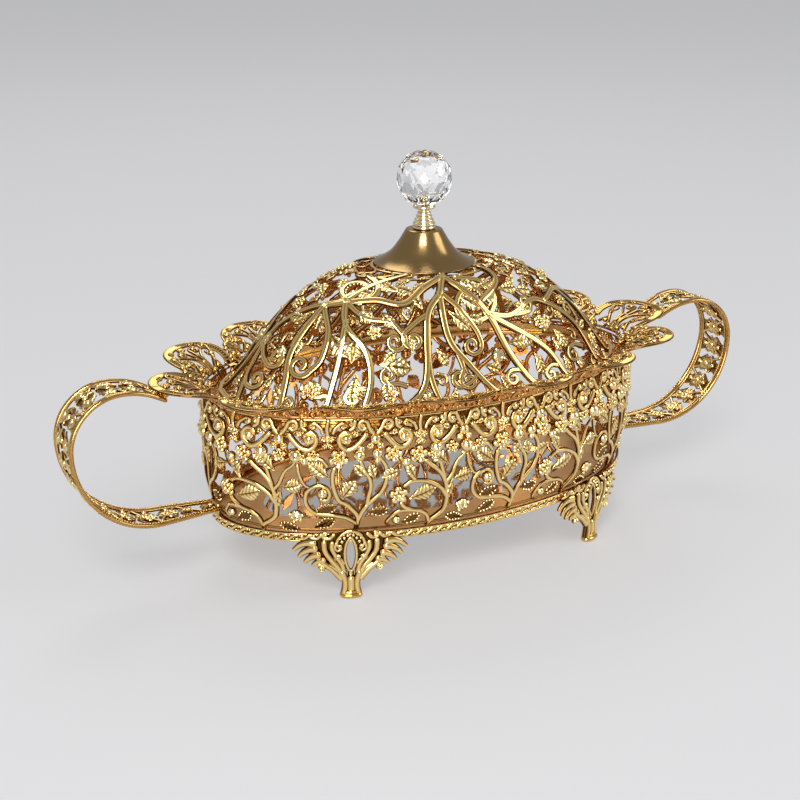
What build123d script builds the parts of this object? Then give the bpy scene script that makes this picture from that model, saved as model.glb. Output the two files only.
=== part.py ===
from build123d import *
import math
import os

# Oval filigree basket with a lift-off lid: a bead-trimmed base plate on four leaf feet, an openwork
# wall of scrolling stems, a flared scalloped rim, two strap handles, and an openwork domed lid with
# a spun cap and a faceted crystal knob. Millimetres, +Z up.
# The origin is on the table under the middle of the oval. +X runs along the oval, +Y to the back.

# Base
leg_height = 30.0            # table to the underside of the base plate
plate_half_length = 122.0
plate_half_width = 67.6
plate_thickness = 1.2
trim_width = 2.5             # bead trim round the plate's edge, measured across
trim_height = 4.8
trim_chamfer = 1.0
fit_gap = 0.1                # between pieces that are fitted together
oval_sides = 36              # every oval of the body is many-sided, with parallel sides

# Openwork wall
wall_setback = 1.6           # wall's foot inside the plate's edge, so its swell clears the trim
wall_height = 66.0
wall_thickness = 1.8
# Height above the wall's foot, and how far the wall stands out past it at the ends and at the sides
wall_swell = ((0.0, 0.0, 0.0), (18.0, 5.2, 6.2), (42.0, 6.9, 8.4), (wall_height, 5.0, 7.4))
wall_periods = 7             # each period holds a forked stem and a curling trunk
eye_rise = 57.5              # height of the row of scroll eyes above the wall's foot
eye_radius = 5.0
eye_count = 26
window_depth = 12.0          # cutters reach this far either side of the foot's oval
window_sides = 6
drop_fullness = 0.77         # keeps a drop's greatest breadth at its stated width
curl_corners = 5
curl_sweep = math.radians(230)

# Flared rim
flare_out_length = 31.0      # past the mouth, at the ends
flare_out_width = 20.5       # and at the front and back
flare_rise = 12.5
rim_thickness = 1.5
flare_steps = 3
lobe_count = 14
lobe_radius = 22.0
lobe_sides = 15              # the shell's edge is fluted, so each lobe is many-sided
lobe_inset = 22.0            # lobe centres inside the edge of the flare
web_inset = 9.5              # the rim between the lobes, inside the same edge

# Seat for the lid
seat_drop = 4.4              # ledge below the wall's mouth
seat_width = 11.0
seat_thickness = 1.2

# Lid
lid_half_length = 116.5
lid_half_width = 66.5
lid_rise = 58.0
dome_fullness = 3.5          # exponents of the dome's profile
dome_ease = 1.43
crown_share = 0.235          # crown's length as a share of the lid's
crown_round = 9.0            # how much rounder than the foot the crown is
lid_thickness = 1.7
dome_steps = 4
band_height = 5.0
band_thickness = 2.2
band_out = 0.6               # band's outside past the dome's foot
seat_gap = 0.3               # lid resting on its seat
lid_gores = 14

# Cap, neck, stud and crystal
cap_radius = 27.1
cap_wall = 1.0
cap_sides = 24
cap_profile = ((cap_radius, 0.0), (17.6, 6.2), (9.6, 18.2))     # radius and height of the cone's bends
stud_radius = 2.0
stud_clearance = 0.15
stud_in_crystal = 8.0
nut_across_flats = 7.0
nut_height = 3.2
neck_sides = 12
neck_rings = ((6.1, 3.5), (4.4, 3.6), (3.5, 3.8), (6.1, 1.7))   # radius and height, upwards
crystal_radius = 15.0
crystal_sides = 10
crystal_rows = (-72, -45, -18, 9, 36, 60)                # latitudes of the facet rows, degrees

# Handles
handle_reach = 204.0         # outermost point from the middle
handle_width = 28.0          # at the loop's outermost part
handle_end_width = 10.0      # where the strap's ends meet the body
strap_thickness = 2.4
strap_low = 38.5             # lowest line of the strap above the table
upper_turn = 28.0            # radii of the strap's outer line
lower_turn = 47.5
crest_rise = 5.0             # strap's crest above its start under the lip
lip_room = 0.6               # strap below the lip's edge
start_run = 12.0             # strap's straight start under the lip
turn_facets = 5              # flat facets in each quarter turn of the strap
plan_facets = 6              # and along each of its sides, seen from above
lug_length = 8.0
lug_width = 12.0
tab_width = 10.0
tab_thickness = 2.0
handle_windows = 7
handle_window_width = 9.0
strap_edge = 4.5             # metal left along the strap beside its windows
window_band = (0.26, 0.9)    # first and last window, as shares of the strap's outer line
strap_cut = 3.6              # cutters reach this far either side of that line

# Feet
foot_place_x = 74.5          # feet along the oval from the middle
fan_thickness = 2.6
fan_eye_length = 15.0
fan_eye_width = 4.8
fan_eye_z = 22.5
fan_curl_x = 14.6
fan_curl_z = 16.6
fan_curl_radius = 2.4
leg_top_z = 16.0
leg_top_width = 9.6
leg_top_depth = 4.0
leg_waist_z = 8.0
leg_waist_width = 8.0
leg_depth = 4.6
pad_width = 12.0
pad_depth = 7.6
pad_height = 2.6

# Heights and half sizes that follow from those
plate_top = leg_height + plate_thickness
trim_half_length = plate_half_length + fit_gap + trim_width
trim_half_width = plate_half_width + fit_gap + trim_width
foot_half_length = plate_half_length - wall_setback
foot_half_width = plate_half_width - wall_setback
mouth_half_length = foot_half_length + wall_swell[-1][1]
mouth_half_width = foot_half_width + wall_swell[-1][2]
mouth_z = plate_top + wall_height
rim_half_length = mouth_half_length + flare_out_length
rim_half_width = mouth_half_width + flare_out_width
rim_z = mouth_z + flare_rise
seat_top = mouth_z - seat_drop
lid_foot = seat_top + seat_gap
dome_foot = lid_foot + band_height
bore_radius = stud_radius + stud_clearance


def plate_corner(corner):
    """Corner of the plate's many-sided oval, which gives every other oval its directions."""
    swing = 2 * math.pi * corner / oval_sides
    return Vector(plate_half_length * math.cos(swing), plate_half_width * math.sin(swing))


def oval_corners(half_length, half_width, height=0.0):
    """Corners of an oval: the plate's oval scaled, then widened evenly, so its sides stay parallel."""
    scale = (half_length - half_width) / (plate_half_length - plate_half_width)
    widening = half_length - scale * plate_half_length
    corners = []
    for corner in range(oval_sides):
        middle = plate_corner(corner)
        before = (middle - plate_corner(corner - 1)).normalized()
        after = (plate_corner(corner + 1) - middle).normalized()
        mitre = (before + after).cross(Vector(0, 0, 1)) / (1 + before.dot(after))
        spot = middle * scale + mitre * widening
        corners.append((spot.X, spot.Y, height))
    return corners


def round_corners(radius, height, sides):
    """Corners of a regular ring."""
    corners = []
    for corner in range(sides):
        swing = 2 * math.pi * corner / sides
        corners.append((radius * math.cos(swing), radius * math.sin(swing), height))
    return corners


def facet(*corners):
    """Flat face between its corners."""
    return Face(Wire.make_polygon(corners))


def stack(rings):
    """Solid with a flat facet between each two sides of the rings, lowest ring first."""
    facets = [facet(*rings[0]), facet(*rings[-1])]
    for low, high in zip(rings, rings[1:]):
        for corner in range(len(low)):
            facets.append(facet(low[corner - 1], low[corner], high[corner], high[corner - 1]))
    return Solid(Shell(facets))


def oval(half_length, half_width, height):
    """Filled many-sided oval at a height, its long side along X."""
    with BuildSketch(Plane.XY.offset(height)) as outline:
        Polygon(*[corner[:2] for corner in oval_corners(half_length, half_width)], align=None)
    return outline.sketch


def oval_ring(half_length, half_width, width, bottom, height):
    """Flat-sided oval ring: outer half sizes, width across, lowest level and height."""
    with BuildPart() as ring:
        with BuildSketch(Plane.XY.offset(bottom)):
            add(oval(half_length, half_width, 0))
            add(oval(half_length - width, half_width - width, 0), mode=Mode.SUBTRACT)
        extrude(amount=height)
    return ring.part


def drop_points(length, width, sides):
    """Corners of a drop-shaped window, its point down, about the middle of its length."""
    corners = []
    for corner in range(sides):
        swing = 2 * math.pi * corner / sides
        swell = math.sin(swing) * math.sin(swing / 2) / drop_fullness
        corners.append((width / 2 * swell, -length / 2 * math.cos(swing)))
    return corners


def drop_window(length, width):
    """Drop-shaped window outline with its point down."""
    with BuildSketch() as outline:
        Polygon(*drop_points(length, width, window_sides), align=None)
    return outline.sketch


def lens_window(length, width):
    """Narrow pointed window outline standing upright."""
    with BuildSketch() as outline:
        Polygon(
            (0, -length / 2), (width / 2, -length / 6), (width / 2, length / 6),
            (0, length / 2), (-width / 2, length / 6), (-width / 2, -length / 6),
            align=None,
        )
    return outline.sketch


def curl_window(length, width):
    """Crescent window round a curl: length is across its outer edge, width is its own breadth."""
    outer = []
    inner = []
    for corner in range(curl_corners):
        swing = curl_sweep * (corner / (curl_corners - 1) - 0.5)
        breadth = width * math.cos(math.pi * (corner / (curl_corners - 1) - 0.5))
        outer.append((length / 2 * math.sin(swing), length / 2 * math.cos(swing)))
        reach = length / 2 - breadth
        inner.append((reach * math.sin(swing), reach * math.cos(swing)))
    with BuildSketch() as outline:
        Polygon(*outer, *inner[-2:0:-1], align=None)
    return outline.sketch


def station(half_length, half_width, turn):
    """Point and direction along an oval, a share of a turn from its +X end."""
    guide = Edge.make_ellipse(half_length, half_width)
    return guide.position_at(turn % 1), guide.tangent_at(turn % 1)


def facing_plane(half_length, half_width, turn, height, out=0.0):
    """Upright plane on an oval that faces outwards: its x runs along the oval, its y upwards."""
    spot, along = station(half_length, half_width, turn)
    outward = along.cross(Vector(0, 0, 1))
    origin = spot + outward * out
    return Plane(origin=(origin.X, origin.Y, height), x_dir=along, z_dir=outward)


def wall_form(grow):
    """Solid within the wall's outside, grown outwards by a margin or inwards by a negative one."""
    rings = []
    for rise, out_length, out_width in wall_swell:
        rings.append(oval_corners(
            foot_half_length + out_length + grow,
            foot_half_width + out_width + grow,
            plate_top + rise,
        ))
    return stack(rings)


def flare_form(lift):
    """Solid within the flare, whose outside is moved square to its surface by a lift."""
    rings = []
    for step in range(flare_steps + 1):
        swing = math.radians(90 * step / flare_steps)
        out = 1 - math.cos(swing)
        rings.append(oval_corners(
            mouth_half_length + flare_out_length * out - lift * math.cos(swing),
            mouth_half_width + flare_out_width * out - lift * math.cos(swing),
            mouth_z + flare_rise * math.sin(swing) + lift * math.sin(swing),
        ))
    return stack(rings)


def dome_half_sizes(share):
    """Half length and half width of the dome at a share of its foot."""
    return lid_half_length * share, lid_half_width * share + crown_round * (1 - share)


def dome_height(share):
    """Height of the dome's outside at a share of its foot."""
    return dome_foot + lid_rise * (1 - share ** dome_fullness) ** dome_ease


crown_z = dome_height(crown_share)


def dome_form(inset):
    """Solid within the dome, drawn inwards and downwards by an inset."""
    rings = []
    for step in range(dome_steps + 1):
        swing = math.radians(90 * (dome_steps - step) / dome_steps)
        share = crown_share + (1 - crown_share) * math.sin(swing)
        half_length, half_width = dome_half_sizes(share)
        sink = inset * step / dome_steps
        rings.append(oval_corners(half_length - inset, half_width - inset, dome_height(share) - sink))
    return stack(rings)


def dome_plane(turn, share):
    """Plane on the dome facing outwards: its x runs round the lid, its y up the dome."""
    spot, _ = station(lid_half_length, lid_half_width, turn)
    swing = math.atan2(spot.Y / lid_half_width, spot.X / lid_half_length)

    def on_dome(angle, level):
        half_length, half_width = dome_half_sizes(level)
        return Vector(half_length * math.cos(angle), half_width * math.sin(angle), dome_height(level))

    nudge = 0.01
    around = on_dome(swing + nudge, share) - on_dome(swing - nudge, share)
    upward = on_dome(swing, share - nudge) - on_dome(swing, share + nudge)
    return Plane(origin=on_dome(swing, share), x_dir=around, z_dir=around.cross(upward))


# Places of the feet round the trim, as shares of a turn
foot_swing = math.acos(foot_place_x / trim_half_length)
foot_turn = Edge.make_ellipse(trim_half_length, trim_half_width).param_at_point((
    trim_half_length * math.cos(foot_swing), trim_half_width * math.sin(foot_swing), 0
))
foot_turns = {
    "back_right": foot_turn,
    "back_left": 0.5 - foot_turn,
    "front_left": 0.5 + foot_turn,
    "front_right": 1 - foot_turn,
}

# Base plate: a plain oval sheet
with BuildPart() as base_plate:
    add(oval(plate_half_length, plate_half_width, leg_height))
    extrude(amount=plate_thickness)

# Bead trim: the ring that binds the plate's edge
trim_rings = [
    oval_corners(trim_half_length - inset, trim_half_width - inset, leg_height + rise)
    for inset, rise in (
        (trim_chamfer, 0), (0, trim_chamfer), (0, trim_height - trim_chamfer), (trim_chamfer, trim_height)
    )
]
with BuildPart() as base_trim:
    add(stack(trim_rings))
    add(oval(trim_half_length - trim_width, trim_half_width - trim_width, leg_height))
    extrude(amount=trim_height, mode=Mode.SUBTRACT)

# Openwork wall. Each window: millimetres along from the forked stem, up from the wall's foot,
# length, width, lean to the left in degrees, and outline. The metal left between the windows is a
# forked stem with a curl on its left, and half a period on a trunk with an arch on its left.
wall_windows = (
    (1.0, 28.0, 30.0, 12.0, 4, drop_window),       # heart of the forked stem
    (11.8, 33.0, 22.0, 5.6, 4, lens_window),       # between the fork's two right arms
    (-16.5, 26.0, 16.0, 5.0, 20, curl_window),     # round the left curl
    (-18.0, 41.5, 12.0, 8.0, 30, drop_window),     # above the left curl
    (-13.0, 11.0, 16.0, 5.0, 84, lens_window),     # below the left curl
    (42.0, 22.0, 19.0, 13.0, 66, drop_window),     # under the trunk's arch
    (42.5, 38.5, 14.0, 7.0, -55, drop_window),     # above the trunk's arch
    (24.5, 36.0, 17.0, 9.0, 10, drop_window),      # left of the trunk's arch
    (22.0, 10.5, 24.0, 6.0, -86, lens_window),     # below the arch
    (56.4, 25.0, 22.0, 5.6, 4, lens_window),       # right of the trunk
)
wall_guide_length = Edge.make_ellipse(foot_half_length, foot_half_width).length


def wall_cutter_plane(turn, height):
    """Plane outside the wall, facing outwards, that a window is cut inwards from."""
    return facing_plane(foot_half_length, foot_half_width, turn, height, out=window_depth)


with BuildPart() as whole_wall:
    add(wall_form(0))
    add(wall_form(-wall_thickness), mode=Mode.SUBTRACT)
    for period in range(wall_periods):
        start = 0.5 + foot_turn + period / wall_periods
        for along, up, length, width, lean, outline in wall_windows:
            turn = start + along / wall_guide_length
            with BuildSketch(wall_cutter_plane(turn, plate_top + up)):
                add(outline(length, width), rotation=lean)
    for eye in range(eye_count):
        turn = 0.5 + foot_turn + eye / eye_count
        with BuildSketch(wall_cutter_plane(turn, plate_top + eye_rise)):
            RegularPolygon(eye_radius, window_sides)
    extrude(amount=-2 * window_depth, clean=False, mode=Mode.SUBTRACT)

# The wall is bent up in two halves that meet behind the handles
with BuildPart() as wall_front:
    add(whole_wall.part)
    split(bisect_by=Plane.XZ, keep=Keep.TOP)
with BuildPart() as wall_back:
    add(whole_wall.part)
    split(bisect_by=Plane.XZ, keep=Keep.BOTTOM)

# Flared rim: a trumpet mouth cut to a ring of shell-shaped lobes, each pierced by a fan of drops.
# Each window: across the lobe, outwards, length, width and lean.
lobe_windows = (
    (0.0, 0.0, 15.0, 7.0, 0),
    (9.0, -1.5, 13.0, 5.5, -24),
    (-9.0, -1.5, 13.0, 5.5, 24),
)
fan_inset = 12.5             # middle of the fan inside the edge of the flare
rim_cut = 40.0               # height of the cutters, more than the flare's

with BuildPart() as whole_rim:
    add(flare_form(0))
    add(oval(rim_half_length, rim_half_width, rim_z))
    extrude(amount=rim_thickness)
    add(flare_form(rim_thickness), mode=Mode.SUBTRACT)
    with BuildSketch(Plane.XY.offset(rim_z - rim_cut / 2)):
        add(oval(rim_half_length - web_inset, rim_half_width - web_inset, 0))
        for lobe in range(lobe_count):
            spot, _ = station(
                rim_half_length - lobe_inset, rim_half_width - lobe_inset, lobe / lobe_count
            )
            with Locations((spot.X, spot.Y)):
                RegularPolygon(lobe_radius, lobe_sides)
    extrude(amount=rim_cut, mode=Mode.INTERSECT)
    for lobe in range(lobe_count):
        spot, along = station(
            rim_half_length - fan_inset, rim_half_width - fan_inset, lobe / lobe_count
        )
        origin = (spot.X, spot.Y, rim_z + rim_cut / 2)
        with BuildSketch(Plane(origin=origin, x_dir=along * -1, z_dir=(0, 0, 1))):
            for across, out, length, width, lean in lobe_windows:
                with Locations((across, out)):
                    add(drop_window(length, width), rotation=lean)
    extrude(amount=-rim_cut, clean=False, mode=Mode.SUBTRACT)

with BuildPart() as rim_front:
    add(whole_rim.part)
    split(bisect_by=Plane.XZ, keep=Keep.TOP)
with BuildPart() as rim_back:
    add(whole_rim.part)
    split(bisect_by=Plane.XZ, keep=Keep.BOTTOM)

# Lid seat: a flat ledge inside the wall, its outer edge against the wall's inside
with BuildPart() as lid_seat:
    add(oval_ring(
        mouth_half_length, mouth_half_width, wall_thickness + seat_width,
        seat_top - seat_thickness, seat_thickness,
    ))
    add(wall_form(-wall_thickness - fit_gap), mode=Mode.INTERSECT)

# Lid band: the plain hoop at the lid's foot
with BuildPart() as lid_band:
    add(oval_ring(
        lid_half_length + band_out, lid_half_width + band_out, band_thickness, lid_foot, band_height
    ))

# Lid shell: an openwork dome. Each window: shares of a gore and millimetres round the lid, level
# on the dome as a share of its foot, length, width, lean and outline.
dome_windows = (
    (0.0, -9.5, 0.885, 18.0, 12.0, 8, drop_window),
    (0.0, 9.5, 0.885, 18.0, 12.0, -8, drop_window),
    (0.0, 0.0, 0.69, 22.0, 9.0, 180, drop_window),
    (0.5, 0.0, 0.72, 20.0, 6.5, 0, lens_window),
    (0.5, 0.0, 0.46, 17.0, 11.0, 180, drop_window),
)
lid_guide_length = Edge.make_ellipse(lid_half_length, lid_half_width).length
dome_cut = 6.0               # cutters reach this far either side of the dome

with BuildPart() as lid_shell:
    add(dome_form(0))
    add(dome_form(lid_thickness), mode=Mode.SUBTRACT)
    for gore in range(lid_gores):
        for gore_share, along, level, length, width, lean, outline in dome_windows:
            turn = (gore + gore_share) / lid_gores + along / lid_guide_length
            with BuildSketch(dome_plane(turn, level).offset(dome_cut)):
                add(outline(length, width), rotation=lean)
    extrude(amount=-2 * dome_cut, clean=False, mode=Mode.SUBTRACT)
    with BuildSketch(Plane.XY.offset(crown_z)):
        Circle(bore_radius)
    extrude(amount=-dome_cut, mode=Mode.SUBTRACT)

# Cap: a cone with a flared skirt, open below, standing on the lid's crown
cap_top_z = crown_z + cap_profile[-1][1]


def cap_form(inset):
    """Solid within the cap's cone, drawn inwards and downwards by an inset."""
    return stack([
        round_corners(radius - inset, crown_z + rise - inset, cap_sides) for radius, rise in cap_profile
    ])


with BuildPart() as lid_cap:
    add(cap_form(0))
    add(cap_form(cap_wall), mode=Mode.SUBTRACT)
    with BuildSketch(Plane.XY.offset(cap_top_z)):
        Circle(bore_radius)
    extrude(amount=-2 * cap_wall, mode=Mode.SUBTRACT)

# Neck: a ferrule in rings, widest at its foot and at the flange under the crystal
with BuildPart() as knob_neck:
    ring_z = cap_top_z
    for radius, ring_height in neck_rings:
        with BuildSketch(Plane.XY.offset(ring_z)):
            RegularPolygon(radius, neck_sides)
        extrude(amount=ring_height)
        ring_z += ring_height
    with BuildSketch(Plane.XY.offset(ring_z)):
        Circle(bore_radius)
    extrude(amount=cap_top_z - ring_z, mode=Mode.SUBTRACT)
crystal_foot_z = ring_z

# Crystal: rows of flat triangular facets between a cut seat below and a point above
row_heights = [crystal_radius * math.sin(math.radians(latitude)) for latitude in crystal_rows]
crystal_z = crystal_foot_z - row_heights[0]


def crystal_corner(row, corner):
    """Corner of a facet row, every other row turned by half a step."""
    around = 2 * math.pi * (corner + row % 2 / 2) / crystal_sides
    reach = crystal_radius * math.cos(math.radians(crystal_rows[row]))
    return (reach * math.cos(around), reach * math.sin(around), crystal_z + row_heights[row])


top_row = len(crystal_rows) - 1
crystal_tip = (0, 0, crystal_z + crystal_radius)
facets = [facet(*[crystal_corner(0, corner) for corner in range(crystal_sides)])]
for corner in range(crystal_sides):
    for row in range(top_row):
        low = [crystal_corner(row, corner + step) for step in (0, 1)]
        high = [crystal_corner(row + 1, corner + step + row % 2) for step in (0, 1)]
        facets += [facet(low[0], low[1], high[0]), facet(low[1], high[1], high[0])]
    facets.append(facet(crystal_corner(top_row, corner), crystal_corner(top_row, corner + 1), crystal_tip))
with BuildPart() as crystal_knob:
    add(Solid(Shell(facets)))
    with BuildSketch(Plane.XY.offset(crystal_foot_z)):
        Circle(bore_radius)
    extrude(amount=stud_in_crystal + stud_clearance, mode=Mode.SUBTRACT)

# Stud and nut that clamp the cap, the neck and the crystal to the lid's crown
nut_z = crown_z - lid_thickness - nut_height
stud_foot_z = nut_z - stud_radius / 2
with BuildPart() as knob_stud:
    with BuildSketch(Plane.XY.offset(stud_foot_z)):
        Circle(stud_radius)
    extrude(amount=crystal_foot_z + stud_in_crystal - stud_foot_z)
with BuildPart() as stud_nut:
    with BuildSketch(Plane.XY.offset(nut_z)):
        RegularPolygon(nut_across_flats / 2, 6, major_radius=False)
        Circle(bore_radius, mode=Mode.SUBTRACT)
    extrude(amount=nut_height)

# Handle: a flat pierced strap bent to a C from under the rim's end lobe down to the wall, with a lug
# that meets the lobe and a tab that lies on the wall over the trim
crest_z = rim_z - lip_room + crest_rise
upper_x = handle_reach - upper_turn
lower_x = handle_reach - lower_turn
crest_run = upper_x - rim_half_length
start_lean = 2 * math.atan(crest_rise / crest_run)
start = Vector(rim_half_length, rim_z - lip_room)
start_way = Vector(math.cos(start_lean), math.sin(start_lean))
strap_end = start - start_way * start_run
lug_height = rim_z - fit_gap - strap_end.Y
tab_height = 2 * (strap_low - leg_height - trim_height - fit_gap)

with BuildPart() as wall_tab:
    add(wall_form(fit_gap + tab_thickness))
    with Locations((mouth_half_length, 0, strap_low)):
        Box(wall_height, tab_width, tab_height, mode=Mode.INTERSECT)

strap_run = handle_reach - foot_half_length
strap_spread = (handle_width - handle_end_width) / 2
strap_bend = (strap_run ** 2 + strap_spread ** 2) / (2 * strap_spread)


def strap_breadth(x):
    """Width of the strap at a distance from the middle, bowed evenly on both sides."""
    return handle_width - 2 * (strap_bend - math.sqrt(strap_bend ** 2 - (handle_reach - x) ** 2))


def strap_plan():
    """The strap's outline seen from above."""
    edge = []
    for step in range(plan_facets + 1):
        x = foot_half_length + strap_run * step / plan_facets
        edge.append((x, strap_breadth(x) / 2))
    with BuildSketch() as plan:
        Polygon(*edge, *[(x, -y) for x, y in reversed(edge)], align=None)
    return plan.sketch


def strap_corners(sink):
    """Corners of the strap's line from under the lip to the wall, drawn inwards by a sink."""
    square = Vector(start_way.Y, -start_way.X)
    crest_turn = crest_run / math.sin(start_lean)
    first = strap_end + square * sink
    corners = [(first.X, first.Y)]
    for x, z, radius, swing_from, swing_to in (
        (upper_x, crest_z - crest_turn, crest_turn, math.pi / 2 + start_lean, math.pi / 2),
        (upper_x, crest_z - upper_turn, upper_turn, math.pi / 2, 0),
        (lower_x, strap_low + lower_turn, lower_turn, 0, -math.pi / 2),
    ):
        facets_here = math.ceil(turn_facets * (swing_from - swing_to) / (math.pi / 2))
        for step in range(facets_here):
            swing = swing_from + (swing_to - swing_from) * step / facets_here
            corners.append((x + (radius - sink) * math.cos(swing), z + (radius - sink) * math.sin(swing)))
    return corners + [(lower_x, strap_low + sink), (foot_half_length, strap_low + sink)]


with BuildPart() as right_handle:
    with BuildSketch(Plane.XZ):
        Polygon(*strap_corners(0), *reversed(strap_corners(strap_thickness)), align=None)
    extrude(amount=handle_width / 2, both=True)
    add(strap_plan())
    extrude(amount=crest_z, mode=Mode.INTERSECT)
    outer_line = Wire.make_polygon(strap_corners(0), close=False)
    for window in range(handle_windows):
        share = window_band[0] + (window_band[1] - window_band[0]) * window / (handle_windows - 1)
        spot = Plane.XZ.from_local_coords(outer_line.position_at(share))
        along = Plane.XZ.from_local_coords(outer_line.tangent_at(share))
        with BuildSketch(Plane(origin=spot, x_dir=(0, 1, 0), z_dir=along.cross(Vector(0, -1, 0)))):
            add(lens_window(strap_breadth(spot.X) - 2 * strap_edge, handle_window_width), rotation=90)
    extrude(amount=strap_cut, both=True, mode=Mode.SUBTRACT)
    with Locations((strap_end.X + lug_length / 2, 0, strap_end.Y)):
        Box(lug_length, lug_width, lug_height, align=(Align.CENTER, Align.CENTER, Align.MIN))
    add(wall_tab.part)
    add(wall_form(fit_gap), mode=Mode.SUBTRACT)
    add(flare_form(-fit_gap), mode=Mode.SUBTRACT)
with BuildPart() as left_handle:
    add(mirror(right_handle.part, about=Plane.YZ))


# Foot: a leaf fan that hugs the trim, above a waisted leg and a pad. Half of the fan's outline,
# along the trim and up from the table, from the tip of the leaf down to the leg.
fan_side = (
    (0.0, 38.0), (5.5, 36.6), (9.0, 34.2), (14.5, 33.8), (21.5, 33.2), (26.5, 30.6), (30.0, 26.6),
    (25.5, 25.2), (27.0, 22.0), (21.4, 22.4), (20.5, 19.4), (fan_curl_x, fan_curl_z),
    (10.4, 19.0), (7.4, 17.4), (5.6, leg_top_z - 1),
)


# Height above the table, width and depth of the leg's sections
leg_profile = (
    (pad_height, leg_top_width, leg_depth),
    (leg_waist_z, leg_waist_width, leg_depth),
    (leg_top_z, leg_top_width, leg_top_depth),
)


def leaf_foot(turn):
    """Foot at a share of a turn round the trim."""
    spot, along = station(trim_half_length, trim_half_width, turn)
    middle = spot + along.cross(Vector(0, 0, 1)) * (fit_gap + fan_thickness / 2)
    floor = Plane(origin=middle, x_dir=along, z_dir=(0, 0, 1))
    ring_out = fit_gap + fan_thickness
    ring = oval_ring(
        trim_half_length + ring_out, trim_half_width + ring_out, fan_thickness, 0, 2 * leg_height
    )
    with BuildPart() as foot:
        with BuildSketch(facing_plane(trim_half_length, trim_half_width, turn, 0)):
            Polygon(*fan_side, *[(-along_trim, up) for along_trim, up in fan_side[:0:-1]], align=None)
            with Locations((fan_curl_x, fan_curl_z), (-fan_curl_x, fan_curl_z)):
                RegularPolygon(fan_curl_radius, window_sides)
            with Locations((0, fan_eye_z)):
                add(lens_window(fan_eye_length, fan_eye_width), mode=Mode.SUBTRACT)
        extrude(amount=pad_width, both=True)
        add(ring, mode=Mode.INTERSECT)
        with BuildSketch(floor):
            Rectangle(pad_width, pad_depth)
        extrude(amount=pad_height)
        leg_rings = []
        for level, width, depth in leg_profile:
            corners = ((-1, -1), (1, -1), (1, 1), (-1, 1))
            leg_rings.append([
                floor.from_local_coords((width / 2 * side, depth / 2 * face, level))
                for side, face in corners
            ])
        add(stack(leg_rings))
    return foot.part


with BuildPart() as foot_front_left:
    add(leaf_foot(foot_turns["front_left"]))
with BuildPart() as foot_front_right:
    add(leaf_foot(foot_turns["front_right"]))
with BuildPart() as foot_back_left:
    add(leaf_foot(foot_turns["back_left"]))
with BuildPart() as foot_back_right:
    add(leaf_foot(foot_turns["back_right"]))

pieces = {
    "base_plate": base_plate,
    "base_trim": base_trim,
    "wall_front": wall_front,
    "wall_back": wall_back,
    "rim_front": rim_front,
    "rim_back": rim_back,
    "lid_seat": lid_seat,
    "left_handle": left_handle,
    "right_handle": right_handle,
    "foot_front_left": foot_front_left,
    "foot_front_right": foot_front_right,
    "foot_back_left": foot_back_left,
    "foot_back_right": foot_back_right,
    "lid_band": lid_band,
    "lid_shell": lid_shell,
    "lid_cap": lid_cap,
    "knob_neck": knob_neck,
    "crystal_knob": crystal_knob,
    "knob_stud": knob_stud,
    "stud_nut": stud_nut,
}
os.makedirs("parts", exist_ok=True)
for name, piece in pieces.items():
    piece.part.label = name
    export_step(piece.part, "parts/" + name + ".step")
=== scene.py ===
import math

import bpy
import numpy as np
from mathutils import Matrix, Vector


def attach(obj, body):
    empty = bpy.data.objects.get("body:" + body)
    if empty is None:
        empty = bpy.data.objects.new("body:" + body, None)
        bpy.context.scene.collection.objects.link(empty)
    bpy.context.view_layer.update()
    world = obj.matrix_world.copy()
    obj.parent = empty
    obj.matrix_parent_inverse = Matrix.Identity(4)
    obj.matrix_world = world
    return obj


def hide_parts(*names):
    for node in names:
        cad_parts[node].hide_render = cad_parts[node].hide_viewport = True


# Oval filigree basket with its lift-off lid. Forms are worked out in millimetres and made in metres.
MM = 0.001

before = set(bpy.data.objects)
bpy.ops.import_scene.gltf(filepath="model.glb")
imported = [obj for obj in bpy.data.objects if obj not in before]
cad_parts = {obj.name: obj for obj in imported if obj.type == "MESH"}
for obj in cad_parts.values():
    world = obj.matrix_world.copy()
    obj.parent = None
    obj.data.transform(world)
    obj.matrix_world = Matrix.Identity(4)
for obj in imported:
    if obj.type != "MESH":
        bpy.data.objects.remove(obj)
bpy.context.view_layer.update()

# Body forms, the same as the part's: half lengths and half widths, and heights above the table
PLATE = (122.0, 67.6)
PLATE_TOP = 31.2
TRIM = (124.6, 70.2)
TRIM_FOOT = 30.0
FOOT = (120.4, 66.0)
WALL_MIDDLE = 0.9            # middle of the wall's thickness inside its face
SWELL_UP = (0.0, 18.0, 42.0, 66.0)
SWELL_LENGTH = np.polyfit(SWELL_UP, (0.0, 5.2, 6.9, 5.0), 3)
SWELL_WIDTH = np.polyfit(SWELL_UP, (0.0, 6.2, 8.4, 7.4), 3)
MOUTH = (125.4, 73.4)
MOUTH_Z = 97.2
FLARE = (31.0, 20.5)
FLARE_RISE = 12.5
RIM = (156.4, 93.9)
LOBES = 14
LOBE_INSET = 22.0            # lobes' centres inside the rim's edge
LOBE_OVAL = (RIM[0] - LOBE_INSET, RIM[1] - LOBE_INSET)
LID = (115.7, 65.7)          # middle of the dome's thickness at its foot
DOME_FOOT = 97.6
DOME_RISE = 58.0
DOME_FULLNESS = 3.5
DOME_EASE = 1.43
CROWN_ROUND = 9.0
CROWN_Z = 155.58
CAP_HEIGHT = 18.2
NECK_HEIGHT = 12.6
BALL_RADIUS = 14.97
FOOT_X = 74.5
SIDES = (-1, 1)


# Surfaces

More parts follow.
